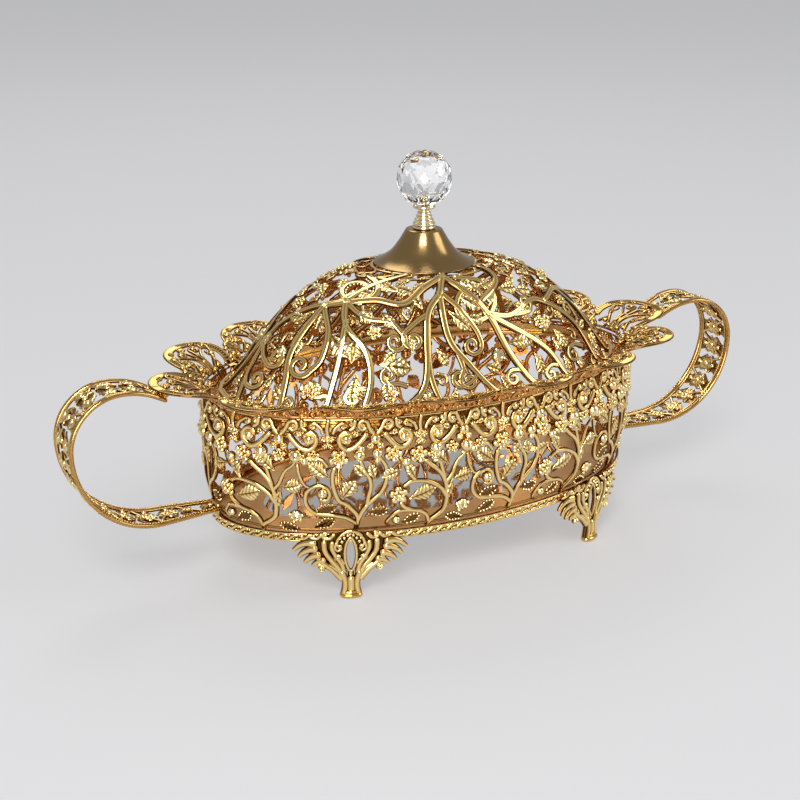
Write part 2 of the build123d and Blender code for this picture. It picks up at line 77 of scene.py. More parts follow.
def oval(half_length, half_width, swing):
    """Points of an oval: the plate's oval scaled, then widened evenly."""
    scale = (half_length - half_width) / (PLATE[0] - PLATE[1])
    widening = half_length - scale * PLATE[0]
    c, s = np.cos(swing), np.sin(swing)
    size = np.hypot(PLATE[1] * c, PLATE[0] * s)
    x = scale * PLATE[0] * c + widening * PLATE[1] * c / size
    y = scale * PLATE[1] * s + widening * PLATE[0] * s / size
    return x, y


def level_ring(half_length, half_width, swing, z):
    """Spots on an oval at a height."""
    x, y = oval(half_length, half_width, swing)
    return np.stack([x, y, z + 0 * x], -1)


SWINGS = np.linspace(-4 * math.pi, 4 * math.pi, 14401)


def swing_table(half_length, half_width):
    """Millimetres along an oval from its -X end, anticlockwise, for every swing of the table."""
    x, y = oval(half_length, half_width, SWINGS)
    run = np.concatenate(([0], np.cumsum(np.hypot(np.diff(x), np.diff(y)))))
    return run - np.interp(math.pi, SWINGS, run)


def girth(table):
    """Length of an oval once round."""
    return np.interp(3 * math.pi, SWINGS, table)


FOOT_RUN = swing_table(*FOOT)
TRIM_RUN = swing_table(*TRIM)
LOBE_RUN = swing_table(*LOBE_OVAL)
FOOT_SWING = math.acos(FOOT_X / TRIM[0])


def wall_at(along, up):
    """Wall's middle skin: millimetres along its foot from the -X end and up from the plate."""
    up = np.asarray(up, float)
    half_length = FOOT[0] - WALL_MIDDLE + np.polyval(SWELL_LENGTH, up)
    half_width = FOOT[1] - WALL_MIDDLE + np.polyval(SWELL_WIDTH, up)
    return level_ring(half_length, half_width, np.interp(along, FOOT_RUN, SWINGS), PLATE_TOP + up)


def flare_z(share):
    """Height of the flare's face at a share of its reach."""
    return MOUTH_Z + FLARE_RISE * np.sqrt(2 * share - share ** 2)


def flare_height(x, y):
    """Height of the flare's face over a spot of the plan, its share found by halving."""
    low = np.zeros_like(x)
    high = np.ones_like(x) * 1.3
    for _ in range(30):
        half = (low + high) / 2
        inside = (x / (MOUTH[0] + FLARE[0] * half)) ** 2 + (y / (MOUTH[1] + FLARE[1] * half)) ** 2 < 1
        high = np.where(inside, half, high)
        low = np.where(inside, low, half)
    return flare_z(np.clip((low + high) / 2, 0.004, 1))


def flare_at(along, share):
    """Flare's face: millimetres along the lobes' oval and a share of the flare's reach."""
    share = np.clip(share, 0.001, 1)
    return level_ring(MOUTH[0] + FLARE[0] * share, MOUTH[1] + FLARE[1] * share,
                      np.interp(along, LOBE_RUN, SWINGS), flare_z(share))


def dome_at(turn, share):
    """Dome's middle skin: degrees round it and its level as a share of its foot."""
    share = np.clip(share, 0.02, 0.9999)
    round_off = CROWN_ROUND * (1 - share)
    return level_ring(LID[0] * share, LID[1] * share + round_off, np.radians(turn),
                      DOME_FOOT + DOME_RISE * (1 - share ** DOME_FULLNESS) ** DOME_EASE)


def unit(vectors):
    """Vectors scaled to a length of 1."""
    return vectors / np.maximum(np.linalg.norm(vectors, axis=-1, keepdims=True), 1e-9)


class Form:
    """A surface that relief is laid on, with its outward normal."""

    def __init__(self, at, steps=(0.05, 0.05), flip=False):
        self.at = at
        self.steps = steps
        self.flip = -1.0 if flip else 1.0

    def slopes(self, u, v):
        """Slopes along and up the surface, and its normals."""
        du, dv = self.steps
        along = (self.at(u + du, v) - self.at(u - du, v)) / (2 * du)
        up = (self.at(u, v + dv) - self.at(u, v - dv)) / (2 * dv)
        return along, up, unit(np.cross(along, up) * self.flip)

    def axes(self, u, v):
        """One spot with its two directions, its normal and its slopes."""
        u, v = np.array([u], float), np.array([v], float)
        along, up, normal = (rows[0] for rows in self.slopes(u, v))
        ex = unit(along)
        return self.at(u, v)[0], ex, np.cross(normal, ex), normal, along, up

    def near(self, u, v, x, y, heading=0.0):
        """Surface coordinates of spots x and y millimetres from (u, v), turned by degrees."""
        _, ex, ey, _, along, up = self.axes(u, v)
        c, s = math.cos(math.radians(heading)), math.sin(math.radians(heading))
        x, y = x * c - y * s, x * s + y * c
        step = y / (up @ ey)
        return u + (x - step * (up @ ex)) / np.linalg.norm(along), v + step


# Paths

def quads(rows, columns, closed):
    """Triangles of a grid of rows and columns, closed round its columns or open."""
    last = columns if closed else columns - 1
    r, c = np.meshgrid(np.arange(rows - 1), np.arange(last), indexing="ij")
    a = (r * columns + c).ravel()
    b = (r * columns + (c + 1) % columns).ravel()
    d = a + columns
    e = b + columns
    return np.concatenate([np.stack([a, b, e], 1), np.stack([a, e, d], 1)])


def smooth(points, per=7):
    """Curve through points, with so many steps between two of them."""
    points = np.array(points, float)
    ends = np.vstack([2 * points[0] - points[1], points, 2 * points[-1] - points[-2]])
    t = np.linspace(0, 1, per, endpoint=False)[:, None]
    curve = []
    for k in range(len(points) - 1):
        a, b, c, d = ends[k:k + 4]
        curve.append(0.5 * (2 * b + (c - a) * t + (2 * a - 5 * b + 4 * c - d) * t ** 2
                            + (3 * b - a - 3 * c + d) * t ** 3))
    return np.vstack(curve + [points[-1:]])


def full_turn(count):
    """Angles evenly round, as many as a count."""
    return np.linspace(0, 2 * math.pi, count, endpoint=False)


def arc(turn, reach=1.0):
    """Points at angles round an origin and at a reach from it."""
    return np.column_stack([reach * np.cos(turn), reach * np.sin(turn)])


def mirrored(points, side, middle=0.0):
    """Points set off from a middle to one side."""
    return [(middle + side * x, y) for x, y in points]


def coil(way, side, radius, sweep, tight, step):
    """Millimetres of a spiral from the end of a way, to its left (side 1) or right (side -1)."""
    heading = math.atan2(way[1], way[0])
    centre = radius * side * np.array([-math.sin(heading), math.cos(heading)])
    turn = np.radians(np.linspace(0, sweep, max(8, int(sweep / step))))[1:]
    reach = radius * (1 - (1 - tight) * turn / turn[-1])
    angle = heading - side * math.pi / 2 + side * turn
    return centre + arc(angle, reach)


def scroll(points, side, radius, sweep):
    """Curve through points that ends in a spiral."""
    path = smooth(points)
    return np.vstack([path, path[-1] + coil(path[-1] - path[-2], side, radius, sweep, 0.28, 18)])


def scroll_on(form, points, side, radius, sweep=400, tight=0.25):
    """Curve through surface coordinates that ends in a spiral of true millimetres."""
    path = smooth(points)
    spot, ex, ey, *_ = form.axes(*path[-1])
    way = spot - form.at(path[-2:-1, 0], path[-2:-1, 1])[0]
    turns = coil((way @ ex, way @ ey), side, radius, sweep, tight, 16)
    return np.vstack([path, np.column_stack(form.near(*path[-1], turns[:, 0], turns[:, 1]))])


def level_line(end, level, count, start=0.0):
    """Path along a form at one level."""
    return np.column_stack([np.linspace(start, end, count), np.full(count, level)])


# Relief

SQUASH = 0.9                 # wire's height as a share of its breadth
SUNFLOWER_TURN = 2.39996     # radians from one berry to the next


def ring_profile(sides, squash):
    """Round section, flattened, as across, up and painted light: a painted highlight on its crest, painted
    shade at its sides.
    """
    turn = full_turn(sides)
    painted_light = np.where(np.sin(turn) < -0.1, 0.0, 0.28 + 0.72 * np.maximum(np.sin(turn), 0) ** 3.4)
    return np.stack([np.cos(turn), np.sin(turn) * squash, painted_light], 1)


# Every profile's third column is painted light: ROUND and FLAT have a painted highlight on the crest and
# painted shade at the sides, BOTH has painted highlights on top and underneath, BRIGHT has one even painted
# brightness, and RIBBON has painted highlights on two ridges with painted shade at its edges
ROUND = ring_profile(12, SQUASH)
FLAT = ring_profile(8, 0.55)
BOTH = np.column_stack([ROUND[:, :2], 0.3 + 0.7 * np.abs(ROUND[:, 1] / SQUASH) ** 2.6])
BRIGHT = np.column_stack([ROUND[:, :2], np.full(len(ROUND), 0.8)])
RIBBON = np.array([
    (1.0, -0.05, 0.26), (0.96, 0.3, 0.3), (0.74, 0.54, 0.44), (0.4, 0.66, 1.0), (0.0, 0.58, 0.48),
    (-0.4, 0.66, 1.0), (-0.74, 0.54, 0.44), (-0.96, 0.3, 0.3), (-1.0, -0.05, 0.26), (-0.7, -0.5, 0.0),
    (0.0, -0.6, 0.1), (0.7, -0.5, 0.0),
])


def leaf_place(share, across, length, width):
    """Millimetres along and across a leaf for shares of both, and how far it spreads there."""
    spread = np.sin(math.pi * share ** 0.85) ** 0.85
    x = (share + 0.34 * np.abs(across) * spread * (1 - share)) * length
    return x, across * width * 0.54 * spread, spread


class Relief:
    """Gathers raised work laid on a form. Each point carries painted light and shade, running from 0 on a
    back over 0.3 in a recess to a painted highlight at 1.
    """

    def __init__(self, form=None, back=0.0, shade=1.0):
        self.form = form
        # back is the painted light of a sheet's lower skin; shade scales all of the work's painted light
        self.back = back
        self.shade = shade
        self.points, self.triangles, self.painted_lights = [], [], []
        self.count = 0

    def put(self, points, triangles, painted_light=0.65):
        """Adds points, their triangles and each point's painted light and shade."""
        self.points.append(points)
        self.triangles.append(triangles + self.count)
        self.painted_lights.append(np.broadcast_to(painted_light, len(points)) * self.shade)
        self.count += len(points)

    def wire(self, path, radius, lift=0.0, taper=0.0, profile=ROUND):
        """Wire along a path of surface coordinates, thinned towards its end by taper."""
        path = np.asarray(path, float)
        spots = self.form.at(path[:, 0], path[:, 1])
        normal = self.form.slopes(path[:, 0], path[:, 1])[2]
        way = unit(np.gradient(spots, axis=0))
        side = unit(np.cross(normal, way))
        size = radius * (1 - taper * np.linspace(0, 1, len(path)))
        head, tail = spots[0] - way[0] * size[0] * 0.5, spots[-1] + way[-1] * size[-1] * 0.5
        spots = np.vstack([head, spots, tail])
        normal, side = (np.pad(rows, ((1, 1), (0, 0)), "edge") for rows in (normal, side))
        size = np.concatenate([[size[0] * 0.55], size, [size[-1] * 0.55]])
        rings = (spots[:, None] + side[:, None] * (profile[:, 0:1] * size[:, None, None])
                 + normal[:, None] * (profile[:, 1:2] * size[:, None, None] + lift))
        rows, columns = rings.shape[:2]
        caps = np.vstack([rings[0].mean(0), rings[-1].mean(0)])
        first = np.arange(columns)
        second = (first + 1) % columns
        top = (rows - 1) * columns
        faces = [
            quads(rows, columns, True),
            np.stack([second, first, np.full(columns, rows * columns)], 1),
            np.stack([top + first, top + second, np.full(columns, rows * columns + 1)], 1),
        ]
        painted_light = np.concatenate([np.tile(profile[:, 2], rows), [0.4, 0.4]])
        self.put(np.vstack([rings.reshape(-1, 3), caps]), np.concatenate(faces), painted_light)

    def stem(self, points, radius, lift=0.0, taper=0.0, profile=ROUND, per=7):
        """Wire on the curve through points."""
        self.wire(smooth(points, per), radius, lift, taper, profile)

    def sheet(self, u, v, high, low, painted_light=0.6):
        """Pad on a grid of surface coordinates: an upper and a lower skin at two heights."""
        spots = self.form.at(u.ravel(), v.ravel())
        normal = self.form.slopes(u.ravel(), v.ravel())[2]
        over, under = (spots + normal * np.broadcast_to(rise, u.shape).reshape(-1, 1) for rise in (high, low))
        faces = quads(*u.shape, False)
        # The upper skin takes the given painted light, the lower skin the relief's painted back value
        painted_light = np.concatenate([np.broadcast_to(painted_light, u.shape).ravel(), np.full(u.size, self.back)])
        self.put(np.vstack([over, under]), np.concatenate([faces, faces[:, ::-1] + u.size]), painted_light)

    def leaf(self, u, v, heading, length, width, veins=5, rise=1.3, lift=0.5, painted_light_scale=1.0):
        """Veined leaf from its base, heading in degrees from the form's along direction."""
        share, across = np.meshgrid(np.linspace(0, 1, 6 * veins + 1), np.linspace(-1, 1, 11), indexing="ij")
        ribs = np.cos(2 * math.pi * veins * share)
        x, y, spread = leaf_place(share, across, length, width)
        y = y * (0.94 + 0.06 * ribs) + 0.02 * across
        groove = np.exp(-(across / 0.15) ** 2)
        high = rise * (0.2 + 0.8 * (1 - across ** 2) * spread)
        high += 0.2 * rise * ribs * np.minimum(1, 2.5 * np.abs(across)) * spread - 0.55 * rise * groove
        edge = np.abs(across) > 0.99
        # Painted shade along the leaf's edges, in its middle groove and between its ribs, and a painted
        # highlight on the ribs; the last argument scales this painted light
        painted_light = np.where(edge | (groove > 0.9), 0.32, np.where(ribs < -0.9, 0.4, 0.9 + 0.1 * ribs)) * painted_light_scale
        high, low = np.where(edge, 0.05, high) + lift, np.where(edge, 0.0, -0.6) + lift
        self.sheet(*self.form.near(u, v, x, y, heading), high, low, painted_light)

    def beaded_leaf(self, u, v, heading, length, width, veins):
        """Pointed leaf with a beaded edge, darkened by scaling down its painted light."""
        self.leaf(u, v, heading, length, width, veins, 0.9, 0.2, 0.45)
        for side in SIDES:
            x, y, _ = leaf_place(np.linspace(0.06, 0.97, 16), side, length, width)
            self.beads(np.column_stack(self.form.near(u, v, x, y + 0.2 * side, heading)), 0.75, 0.5, 2.3)

    def petal(self, u, v, angle, spread, reach, lift):
        """Cupped petal from a blossom's heart, at an angle; its spread is half its width in radians."""
        share, across = np.meshgrid(np.linspace(0, 1, 7), np.linspace(-1, 1, 9), indexing="ij")
        swing = angle + across * spread * (0.55 + 0.45 * share ** 0.5)
        out = reach * (0.15 + 0.85 * share) * (1 - 0.2 * share * across ** 2)
        high = lift + 0.34 * reach * np.sin(math.pi * 0.62 * share) * (1 - 0.35 * across ** 2)
        edge = (np.abs(across) > 0.99) | (share > 0.99)
        # Painted shade at the petal's rim; painted light brightening from its heart towards its middle
        painted_light = np.where(edge, 0.36, 0.5 + 0.5 * np.minimum(1, 2 * share))
        places = self.form.near(u, v, out * np.cos(swing), out * np.sin(swing))
        self.sheet(*places, np.where(edge, lift - 0.1, high), -0.5, painted_light)

    def ball(self, u, v, radius, lift=0.0, sides=10, rows=7, squash=1.0):
        """Ball on the form, or a button when squashed."""
        spot, ex, ey, normal, *_ = self.form.axes(u, v)
        level, turn = np.meshgrid(np.linspace(0, math.pi, rows), full_turn(sides), indexing="ij")
        x, y, z = np.sin(level) * np.cos(turn), np.sin(level) * np.sin(turn), -np.cos(level) * squash
        middle = spot + normal * lift
        points = middle + radius * (x[..., None] * ex + y[..., None] * ey + z[..., None] * normal)
        # Painted highlight on the ball's outer half, painted shade round its middle, and the back value on
        # its inner half
        painted_light = np.where(level > 1.6, 0.5 + 0.5 * np.minimum(1, (level - 1.6) / 0.5), 0.3 * (level > 1.2))
        self.put(points.reshape(-1, 3), quads(rows, sides, True), painted_light.ravel())

    def berries(self, u, v, radius, count=8):
        """Cluster of small balls in a sunflower's order, on a low boss."""
        self.ball(u, v, radius * 0.85, -0.2, squash=0.6)
        for k in range(count):
            reach = radius * 0.82 * math.sqrt((k + 0.35) / count)
            turn = k * SUNFLOWER_TURN
            place = self.form.near(u, v, reach * math.cos(turn), reach * math.sin(turn))
            self.ball(*place, radius * 0.27, 0.7 - 0.25 * reach / radius, 8, 6)

    def rose(self, u, v, radius, turn=0.0, petals=5):
        """Blossom of cupped petals in two rows about its heart."""
        self.ball(u, v, radius * 0.55, -0.3, squash=0.5)
        for ring, reach, spread in ((0, 1.0, 0.56), (1, 0.62, 0.6)):
            for k in range(petals):
                angle = turn + 2 * math.pi * (k + ring / 2) / petals
                self.petal(u, v, angle, spread, radius * reach, 0.3 + 0.9 * ring)
        self.ball(u, v, radius * 0.26, 2.0, 8, 6)

    def beads(self, path, radius, lift=0.0, pitch=2.3):
        """Row of beads along a path, their pitch counted in radii."""
        spots = self.form.at(path[:, 0], path[:, 1])
        run = np.concatenate(([0], np.cumsum(np.linalg.norm(np.diff(spots, axis=0), axis=1))))
        count = max(1, int(run[-1] / (pitch * radius)))
        for k in range(count):
            spot = run[-1] * (k + 0.5) / count
            self.ball(np.interp(spot, run, path[:, 0]), np.interp(spot, run, path[:, 1]), radius, lift, 7, 5)

    def made(self, name, side=0):
        """Mesh object of the gathered work, or only of its front (side -1) or its back (side 1)."""
        points = np.vstack(self.points)
        triangles = np.concatenate(self.triangles)
        painted_lights = np.concatenate(self.painted_lights)
        if side:
            triangles = triangles[(points[triangles].mean(1)[:, 1] >= 0) == (side > 0)]
            used, order = np.unique(triangles, return_inverse=True)
            points, painted_lights, triangles = points[used], painted_lights[used], order.reshape(-1, 3)
        mesh = bpy.data.meshes.new(name)
        mesh.from_pydata(points * MM, [], triangles, shade_flat=False)
        mesh.attributes.new("painted_light", "FLOAT", "POINT").data.foreach_set("value", painted_lights.astype(np.float32))
        mesh.validate()
        return placed(name, mesh)


def placed(name, data):
    """New object in the scene."""
    item = bpy.data.objects.new(name, data)
    bpy.context.scene.collection.objects.link(item)
    return item


def dress(piece, material, body, *nodes):
    """Gives a piece its material and its body, and hides the nodes it stands for."""
    piece.data.materials.clear()
    piece.data.materials.append(material)
    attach(piece, body)
    if nodes:
        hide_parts(*nodes)


def dress_halves(work, kind, gold):
    """Gives the basket the front and back halves of a wall's or rim's work."""
    for half, side in (("front", -1), ("back", 1)):
        dress(work.made(f"{kind}_{half}_filigree", side), gold, "basket", f"{kind}_{half}")


# Openwork wall

PERIODS = 7
PERIOD = girth(FOOT_RUN) / PERIODS
FORK = float(np.interp(math.pi + FOOT_SWING, SWINGS, FOOT_RUN))     # forked stem over the front left foot
WALL_WIRE_SIZE = 1.1
WALL_LEAF_LENGTH, WALL_LEAF_WIDTH = 1.1, 1.16
WALL_BALL_SIZE = 1.25
WALL_HOOPS = ((1.0, 0.9, 0.1), (4.8, 0.85, 0.1), (66.0, 0.7, -0.2))     # up, radius, lift

# Wires of one period, millimetres from the forked stem's foot: radius, taper, points
WALL_WIRES = (
    (1.35, 0.15, ((2.6, 3.8), (3.2, 12.5), (0.1, 17.7), (-3.4, 21.2), (-6.5, 23.2), (-8.5, 28.2),
         (-9.5, 33.1), (-9.5, 37.5), (-8.7, 41.1))),
    (1.3, 0.0, ((3.3, 10.5), (5.1, 15.9), (7.4, 19.9))),
    (1.2, 0.1, ((7.4, 19.9), (7.9, 24.6), (9.0, 29.6), (8.6, 33.8), (7.4, 36.6), (5.5, 39.8), (3.8, 44.6))),
    (1.2, 0.1, ((7.4, 19.9), (10.7, 23.3), (13.7, 26.3), (15.8, 30.4), (16.7, 34.5), (16.6, 39.7),
         (15.0, 43.5), (12.5, 46.4))),
    (1.35, 0.3, ((2.6, 8.6), (0.1, 10.8), (-3.3, 13.0), (-9.3, 14.4), (-14.3, 14.9), (-18.2, 16.0),
         (-21.4, 19.2), (-22.6, 23.1), (-21.9, 27.7), (-19.4, 30.4), (-16.2, 31.6), (-12.7, 30.5),
         (-10.9, 27.1), (-11.6, 24.2), (-13.4, 23.2), (-15.4, 24.0))),
    (1.45, 0.15, ((40.4, 3.4), (41.7, 6.6), (45.3, 9.6), (47.9, 12.7), (48.7, 17.2), (48.6, 21.4),
         (47.9, 27.0), (45.9, 32.3), (43.1, 36.2), (39.3, 39.5), (36.4, 42.3))),
    (1.3, 0.2, ((48.4, 20.7), (45.6, 25.2), (42.4, 27.9), (38.0, 30.3), (33.0, 31.3), (29.1, 31.1),
         (25.7, 29.0))),
    (1.15, 0.2, ((31.3, 32.2), (28.7, 35.3), (27.0, 38.6), (26.0, 41.1), (23.6, 45.0))),
    (1.25, 0.1, ((24.6, 19.6), (26.0, 17.3), (29.8, 14.8), (34.2, 13.6), (37.5, 11.7), (39.6, 9.0),
         (40.9, 3.3))),
    (1.1, 0.2, ((30.2, 14.4), (25.9, 14.8), (22.4, 13.9), (19.8, 11.0), (18.1, 8.0), (19.8, 4.6))),
    (1.1, 0.3, ((48.0, 28.6), (50.6, 32.2), (52.0, 35.9), (53.7, 39.4), (56.5, 41.8), (58.6, 45.0))),
    (0.95, 0.3, ((59.2, 42.6), (60.1, 37.2), (62.3, 32.2), (65.1, 30.0))),
    (1.2, 0.2, ((47.0, 31.0), (45.4, 36.6), (44.0, 41.6), (42.4, 46.6))),
    (1.0, 0.2, ((-12.0, 42.0), (-14.8, 45.6), (-19.4, 46.4), (-24.4, 46.2))),
)
# Leaves: along, up, heading, length, width, veins, beaded edge
WALL_LEAVES = (
    (28.5, 21.5, 19, 13.8, 8.0, 6, False), (52.0, 29.8, 12, 9.4, 7.2, 5, False),
    (-10.8, 35.7, 143, 12.6, 6.8, 6, False), (-5.3, 24.2, 53, 11.3, 7.2, 5, False),
    (7.4, 35.2, 132, 9.4, 4.8, 4, False), (11.0, 33.6, 104, 9.2, 4.6, 4, False),
    (31.3, 32.9, 116, 8.6, 5.0, 4, False), (48.7, 38.6, 137, 11.5, 6.6, 5, False),
    (7.6, 15.7, 0, 11.0, 5.0, 5, True), (26.0, 6.4, 30, 11.0, 4.8, 5, True),
    (-6.2, 20.4, 200, 12.8, 5.4, 6, True), (-18.3, 6.2, 30, 12.3, 5.2, 5, True),
    (-24.3, 4.6, 162, 12.2, 4.4, 5, True), (51.4, 30.4, -104, 12.3, 3.8, 4, False),
    (24.0, 38.6, 200, 9.6, 6.0, 5, False), (55.6, 43.6, 30, 8.0, 4.6, 4, False),
)
WALL_ROSES = ((-6.6, 46.0, 5.4), (20.0, 47.6, 5.0), (32.8, 45.8, 5.0), (23.0, 24.3, 5.1), (50.6, 47.4, 3.9),
    (-18.6, 47.6, 3.4), (41.0, 45.6, 3.8))
WALL_BALLS = ((58.5, 47.5, 3.0), (-14.4, 27.3, 2.2), (3.3, 47.6, 2.6), (4.0, 51.0, 1.8), (11.9, 48.3, 2.3),
    (41.9, 48.6, 2.8), (62.6, 44.9, 1.9), (22.9, 9.4, 1.9), (26.4, 42.6, 2.0), (12.2, 44.6, 1.4))


def wall_period(work, start):
    """One period of the wall's lower work: forked stem, trunk with its arch, leaves and blossoms."""
    for radius, taper, points in WALL_WIRES:
        work.stem(np.add(points, (start, 0)), radius * WALL_WIRE_SIZE, 0.2, taper, per=5)
    for along, up, heading, length, width, veins, beaded in WALL_LEAVES:
        if beaded:
            work.beaded_leaf(start + along, up, heading, length, width, veins)
        else:
            work.leaf(start + along, up, heading, length * WALL_LEAF_LENGTH, width * WALL_LEAF_WIDTH, veins)
    for along, up, radius in WALL_ROSES:
        work.rose(start + along, up, radius, along)
    work.berries(start + 58.3, 13.2, 4.4, 10)
    for along, up, radius in WALL_BALLS:
        work.ball(start + along, up, radius * WALL_BALL_SIZE, 0.3, 14, 10)


CROWNS = 13
CROWN_START = 11.0           # first crown's middle past the forked stem
# Half of one unit of the wall's crown, from its middle outwards and up from the wall's foot
SMILE = ((4.6, 58.6), (7.3, 54.9), (10.6, 51.7), (13.7, 50.8), (16.5, 52.8), (17.6, 56.0), (16.6, 58.9),
         (14.4, 59.9), (12.3, 58.6), (12.2, 56.6))
CURL = ((1.0, 58.8), (3.0, 61.8), (4.4, 65.0), (7.2, 65.4), (8.2, 62.8), (6.4, 60.8), (4.6, 62.0))
ARM = ((10.2, 66.0), (10.6, 62.6), (12.6, 60.8))
CROWN_TIP = ((20.6, 59.4), (19.6, 62.0), (17.2, 64.2))
CROWN_BALLS = ((2.5, 52.6, 2.1, 0.6), (6.2, 63.0, 1.4, 0.6), (11.8, 64.0, 1.6, 0.4), (15.0, 63.2, 1.6, 0.4))
CROWN_LEAVES = ((6.6, 58.2, 74, 5.6, 3.6), (22.6, 55.2, 62, 5.0, 3.2), (22.4, 54.4, 128, 4.6, 3.0))


def wall_crown(work, middle):
    """One unit of the scrolls under the wall's mouth: a clover between two smiles, and berries."""
    # Clover leaves with their painted light scaled to half, as painted shade
    for heading in (30, 90, 150, 270):
        work.leaf(middle, 56.6, heading, 6.6, 6.4, 2, 1.4, 0.0, 0.5)
    work.ball(middle, 56.2, 2.9, 0.8, 12, 9, 0.8)
    for side in SIDES:
        work.stem(mirrored(SMILE, side, middle), 1.8, 0.5, 0.25, per=5)
        work.stem(mirrored(CURL, side, middle), 1.4, 0.4, 0.25, per=5)
        work.stem(mirrored(ARM, side, middle), 1.2, 0.2)
        work.wire(scroll(mirrored(CROWN_TIP, side, middle), side, 1.9, 300), 1.15, 0.3, 0.25)
        work.ball(middle + side * 14.2, 56.4, 2.9, 0.8, 14, 10)
        for x, up, radius, lift in CROWN_BALLS:
            work.ball(middle + side * x, up, radius, lift)
        for x, up, lean, length, width in CROWN_LEAVES:
            work.leaf(middle + side * x, up, 90 - side * lean, length, width, 3)
    work.berries(middle + 23, 56.4, 2.9, 7)
    work.stem([(middle + 23, 58.0), (middle + 22.4, 62), (middle + 23, 66.4)], 1.1, 0.3)


def build_wall(gold):
    work = Relief(Form(wall_at))
    length = girth(FOOT_RUN)
    for period in range(PERIODS):
        wall_period(work, FORK + period * PERIOD)
    for crown in range(CROWNS):
        wall_crown(work, FORK + CROWN_START + crown * length / CROWNS)
    for up, radius, lift in WALL_HOOPS:
        work.wire(level_line(length, up, 361), radius, lift, profile=FLAT)
    dress_halves(work, "wall", gold)


# Bead trim

TRIM_STRANDS = 112
TRIM_INSET = 0.6             # rope's middle inside the trim's face
STRAND = ((-3.3, 1.5), (-1.6, 1.3), (0, 2.4), (1.6, 3.5), (3.3, 3.3))


def build_trim(gold):
    """Rope of slanting strands and beads round the plate's edge, between two thin wires."""

    def trim_at(along, up):
        swing = np.interp(along, TRIM_RUN, SWINGS)
        return level_ring(TRIM[0] - TRIM_INSET, TRIM[1] - TRIM_INSET, swing, TRIM_FOOT + up)

    work = Relief(Form(trim_at))
    length = girth(TRIM_RUN)
    round_it = np.linspace(0, length, 301)
    work.sheet(np.tile(round_it, (2, 1)).T, np.tile([0.4, 4.4], (301, 1)), -0.5, -1.8)
    for up in (0.5, 4.3):
        work.wire(level_line(length, up, 301), 0.5)
    for k in range(TRIM_STRANDS):
        middle = k * length / TRIM_STRANDS
        work.stem(mirrored(STRAND, 1, middle), 0.98, -0.32, per=4)
        work.ball(middle - 1.1, 3.5, 0.75, -0.1, 8, 6)
        work.ball(middle + 1.1, 1.3, 0.6, -0.1, 7, 5)
    dress(work.made("rope_trim"), gold, "basket", "base_trim")


# Flared rim

LOBE_EDGE = 19.8             # radius of a lobe's border scroll
LOBE_RIBS = 121
# A lobe's stems: side they curl to, spiral's radius and sweep, places across, and last two levels
LOBE_STEMS = (
    (-1, 4.2, 380, (3.0, 2.2, 3.4, 9.0), (0.3, 0.52)),
    (-1, 3.4, 330, (1.4, 1.2, 1.6, 2.2), (0.4, 0.62)),
    (1, 3.0, 300, (6.6, 5.6, 11.0, 15.6), (0.22, 0.5)),
)
LOBE_BALLS = ((6.2, 0.66, 1.7, 0.4), (14.6, 0.62, 1.6, 0.4), (9.0, 0.0, 1.7, 0.2))
COLLAR_BEADS = 98
GAP_BALLS = ((3.4, 0.05, 1.3), (6.6, 0.08, 1.5), (7.6, 0.22, 1.4), (2.8, 0.33, 1.2), (10, 0.06, 1.3))
GAP_CURL = ((9.4, 0.03), (8.4, 0.12), (5.8, 0.15), (5.2, 0.08), (6.6, 0.05))


def lobe_form(lobe):
    """Surface of one lobe: millimetres across and outwards from its middle; its foot and root."""
    swing = np.interp((0.5 + lobe / LOBES) % 1 * girth(LOBE_RUN), LOBE_RUN, SWINGS)
    x, y = oval(*LOBE_OVAL, np.array([swing, swing + 0.001]))
    along = unit(np.array([x[1] - x[0], y[1] - y[0]]))
    outward = np.array([along[1], -along[0]])

    def lobe_at(across, out):
        px = x[0] - along[0] * across + outward[0] * out
        py = y[0] - along[1] * across + outward[1] * out
        return np.stack([px, py, flare_height(px, py)], -1)

    reach = np.linspace(-24, LOBE_INSET, 93)
    foot, root = np.interp((MOUTH_Z + 1.6, MOUTH_Z + 4.5), lobe_at(0, reach)[:, 2], reach)
    return Form(lobe_at, (0.02, 0.02)), float(foot), float(root)


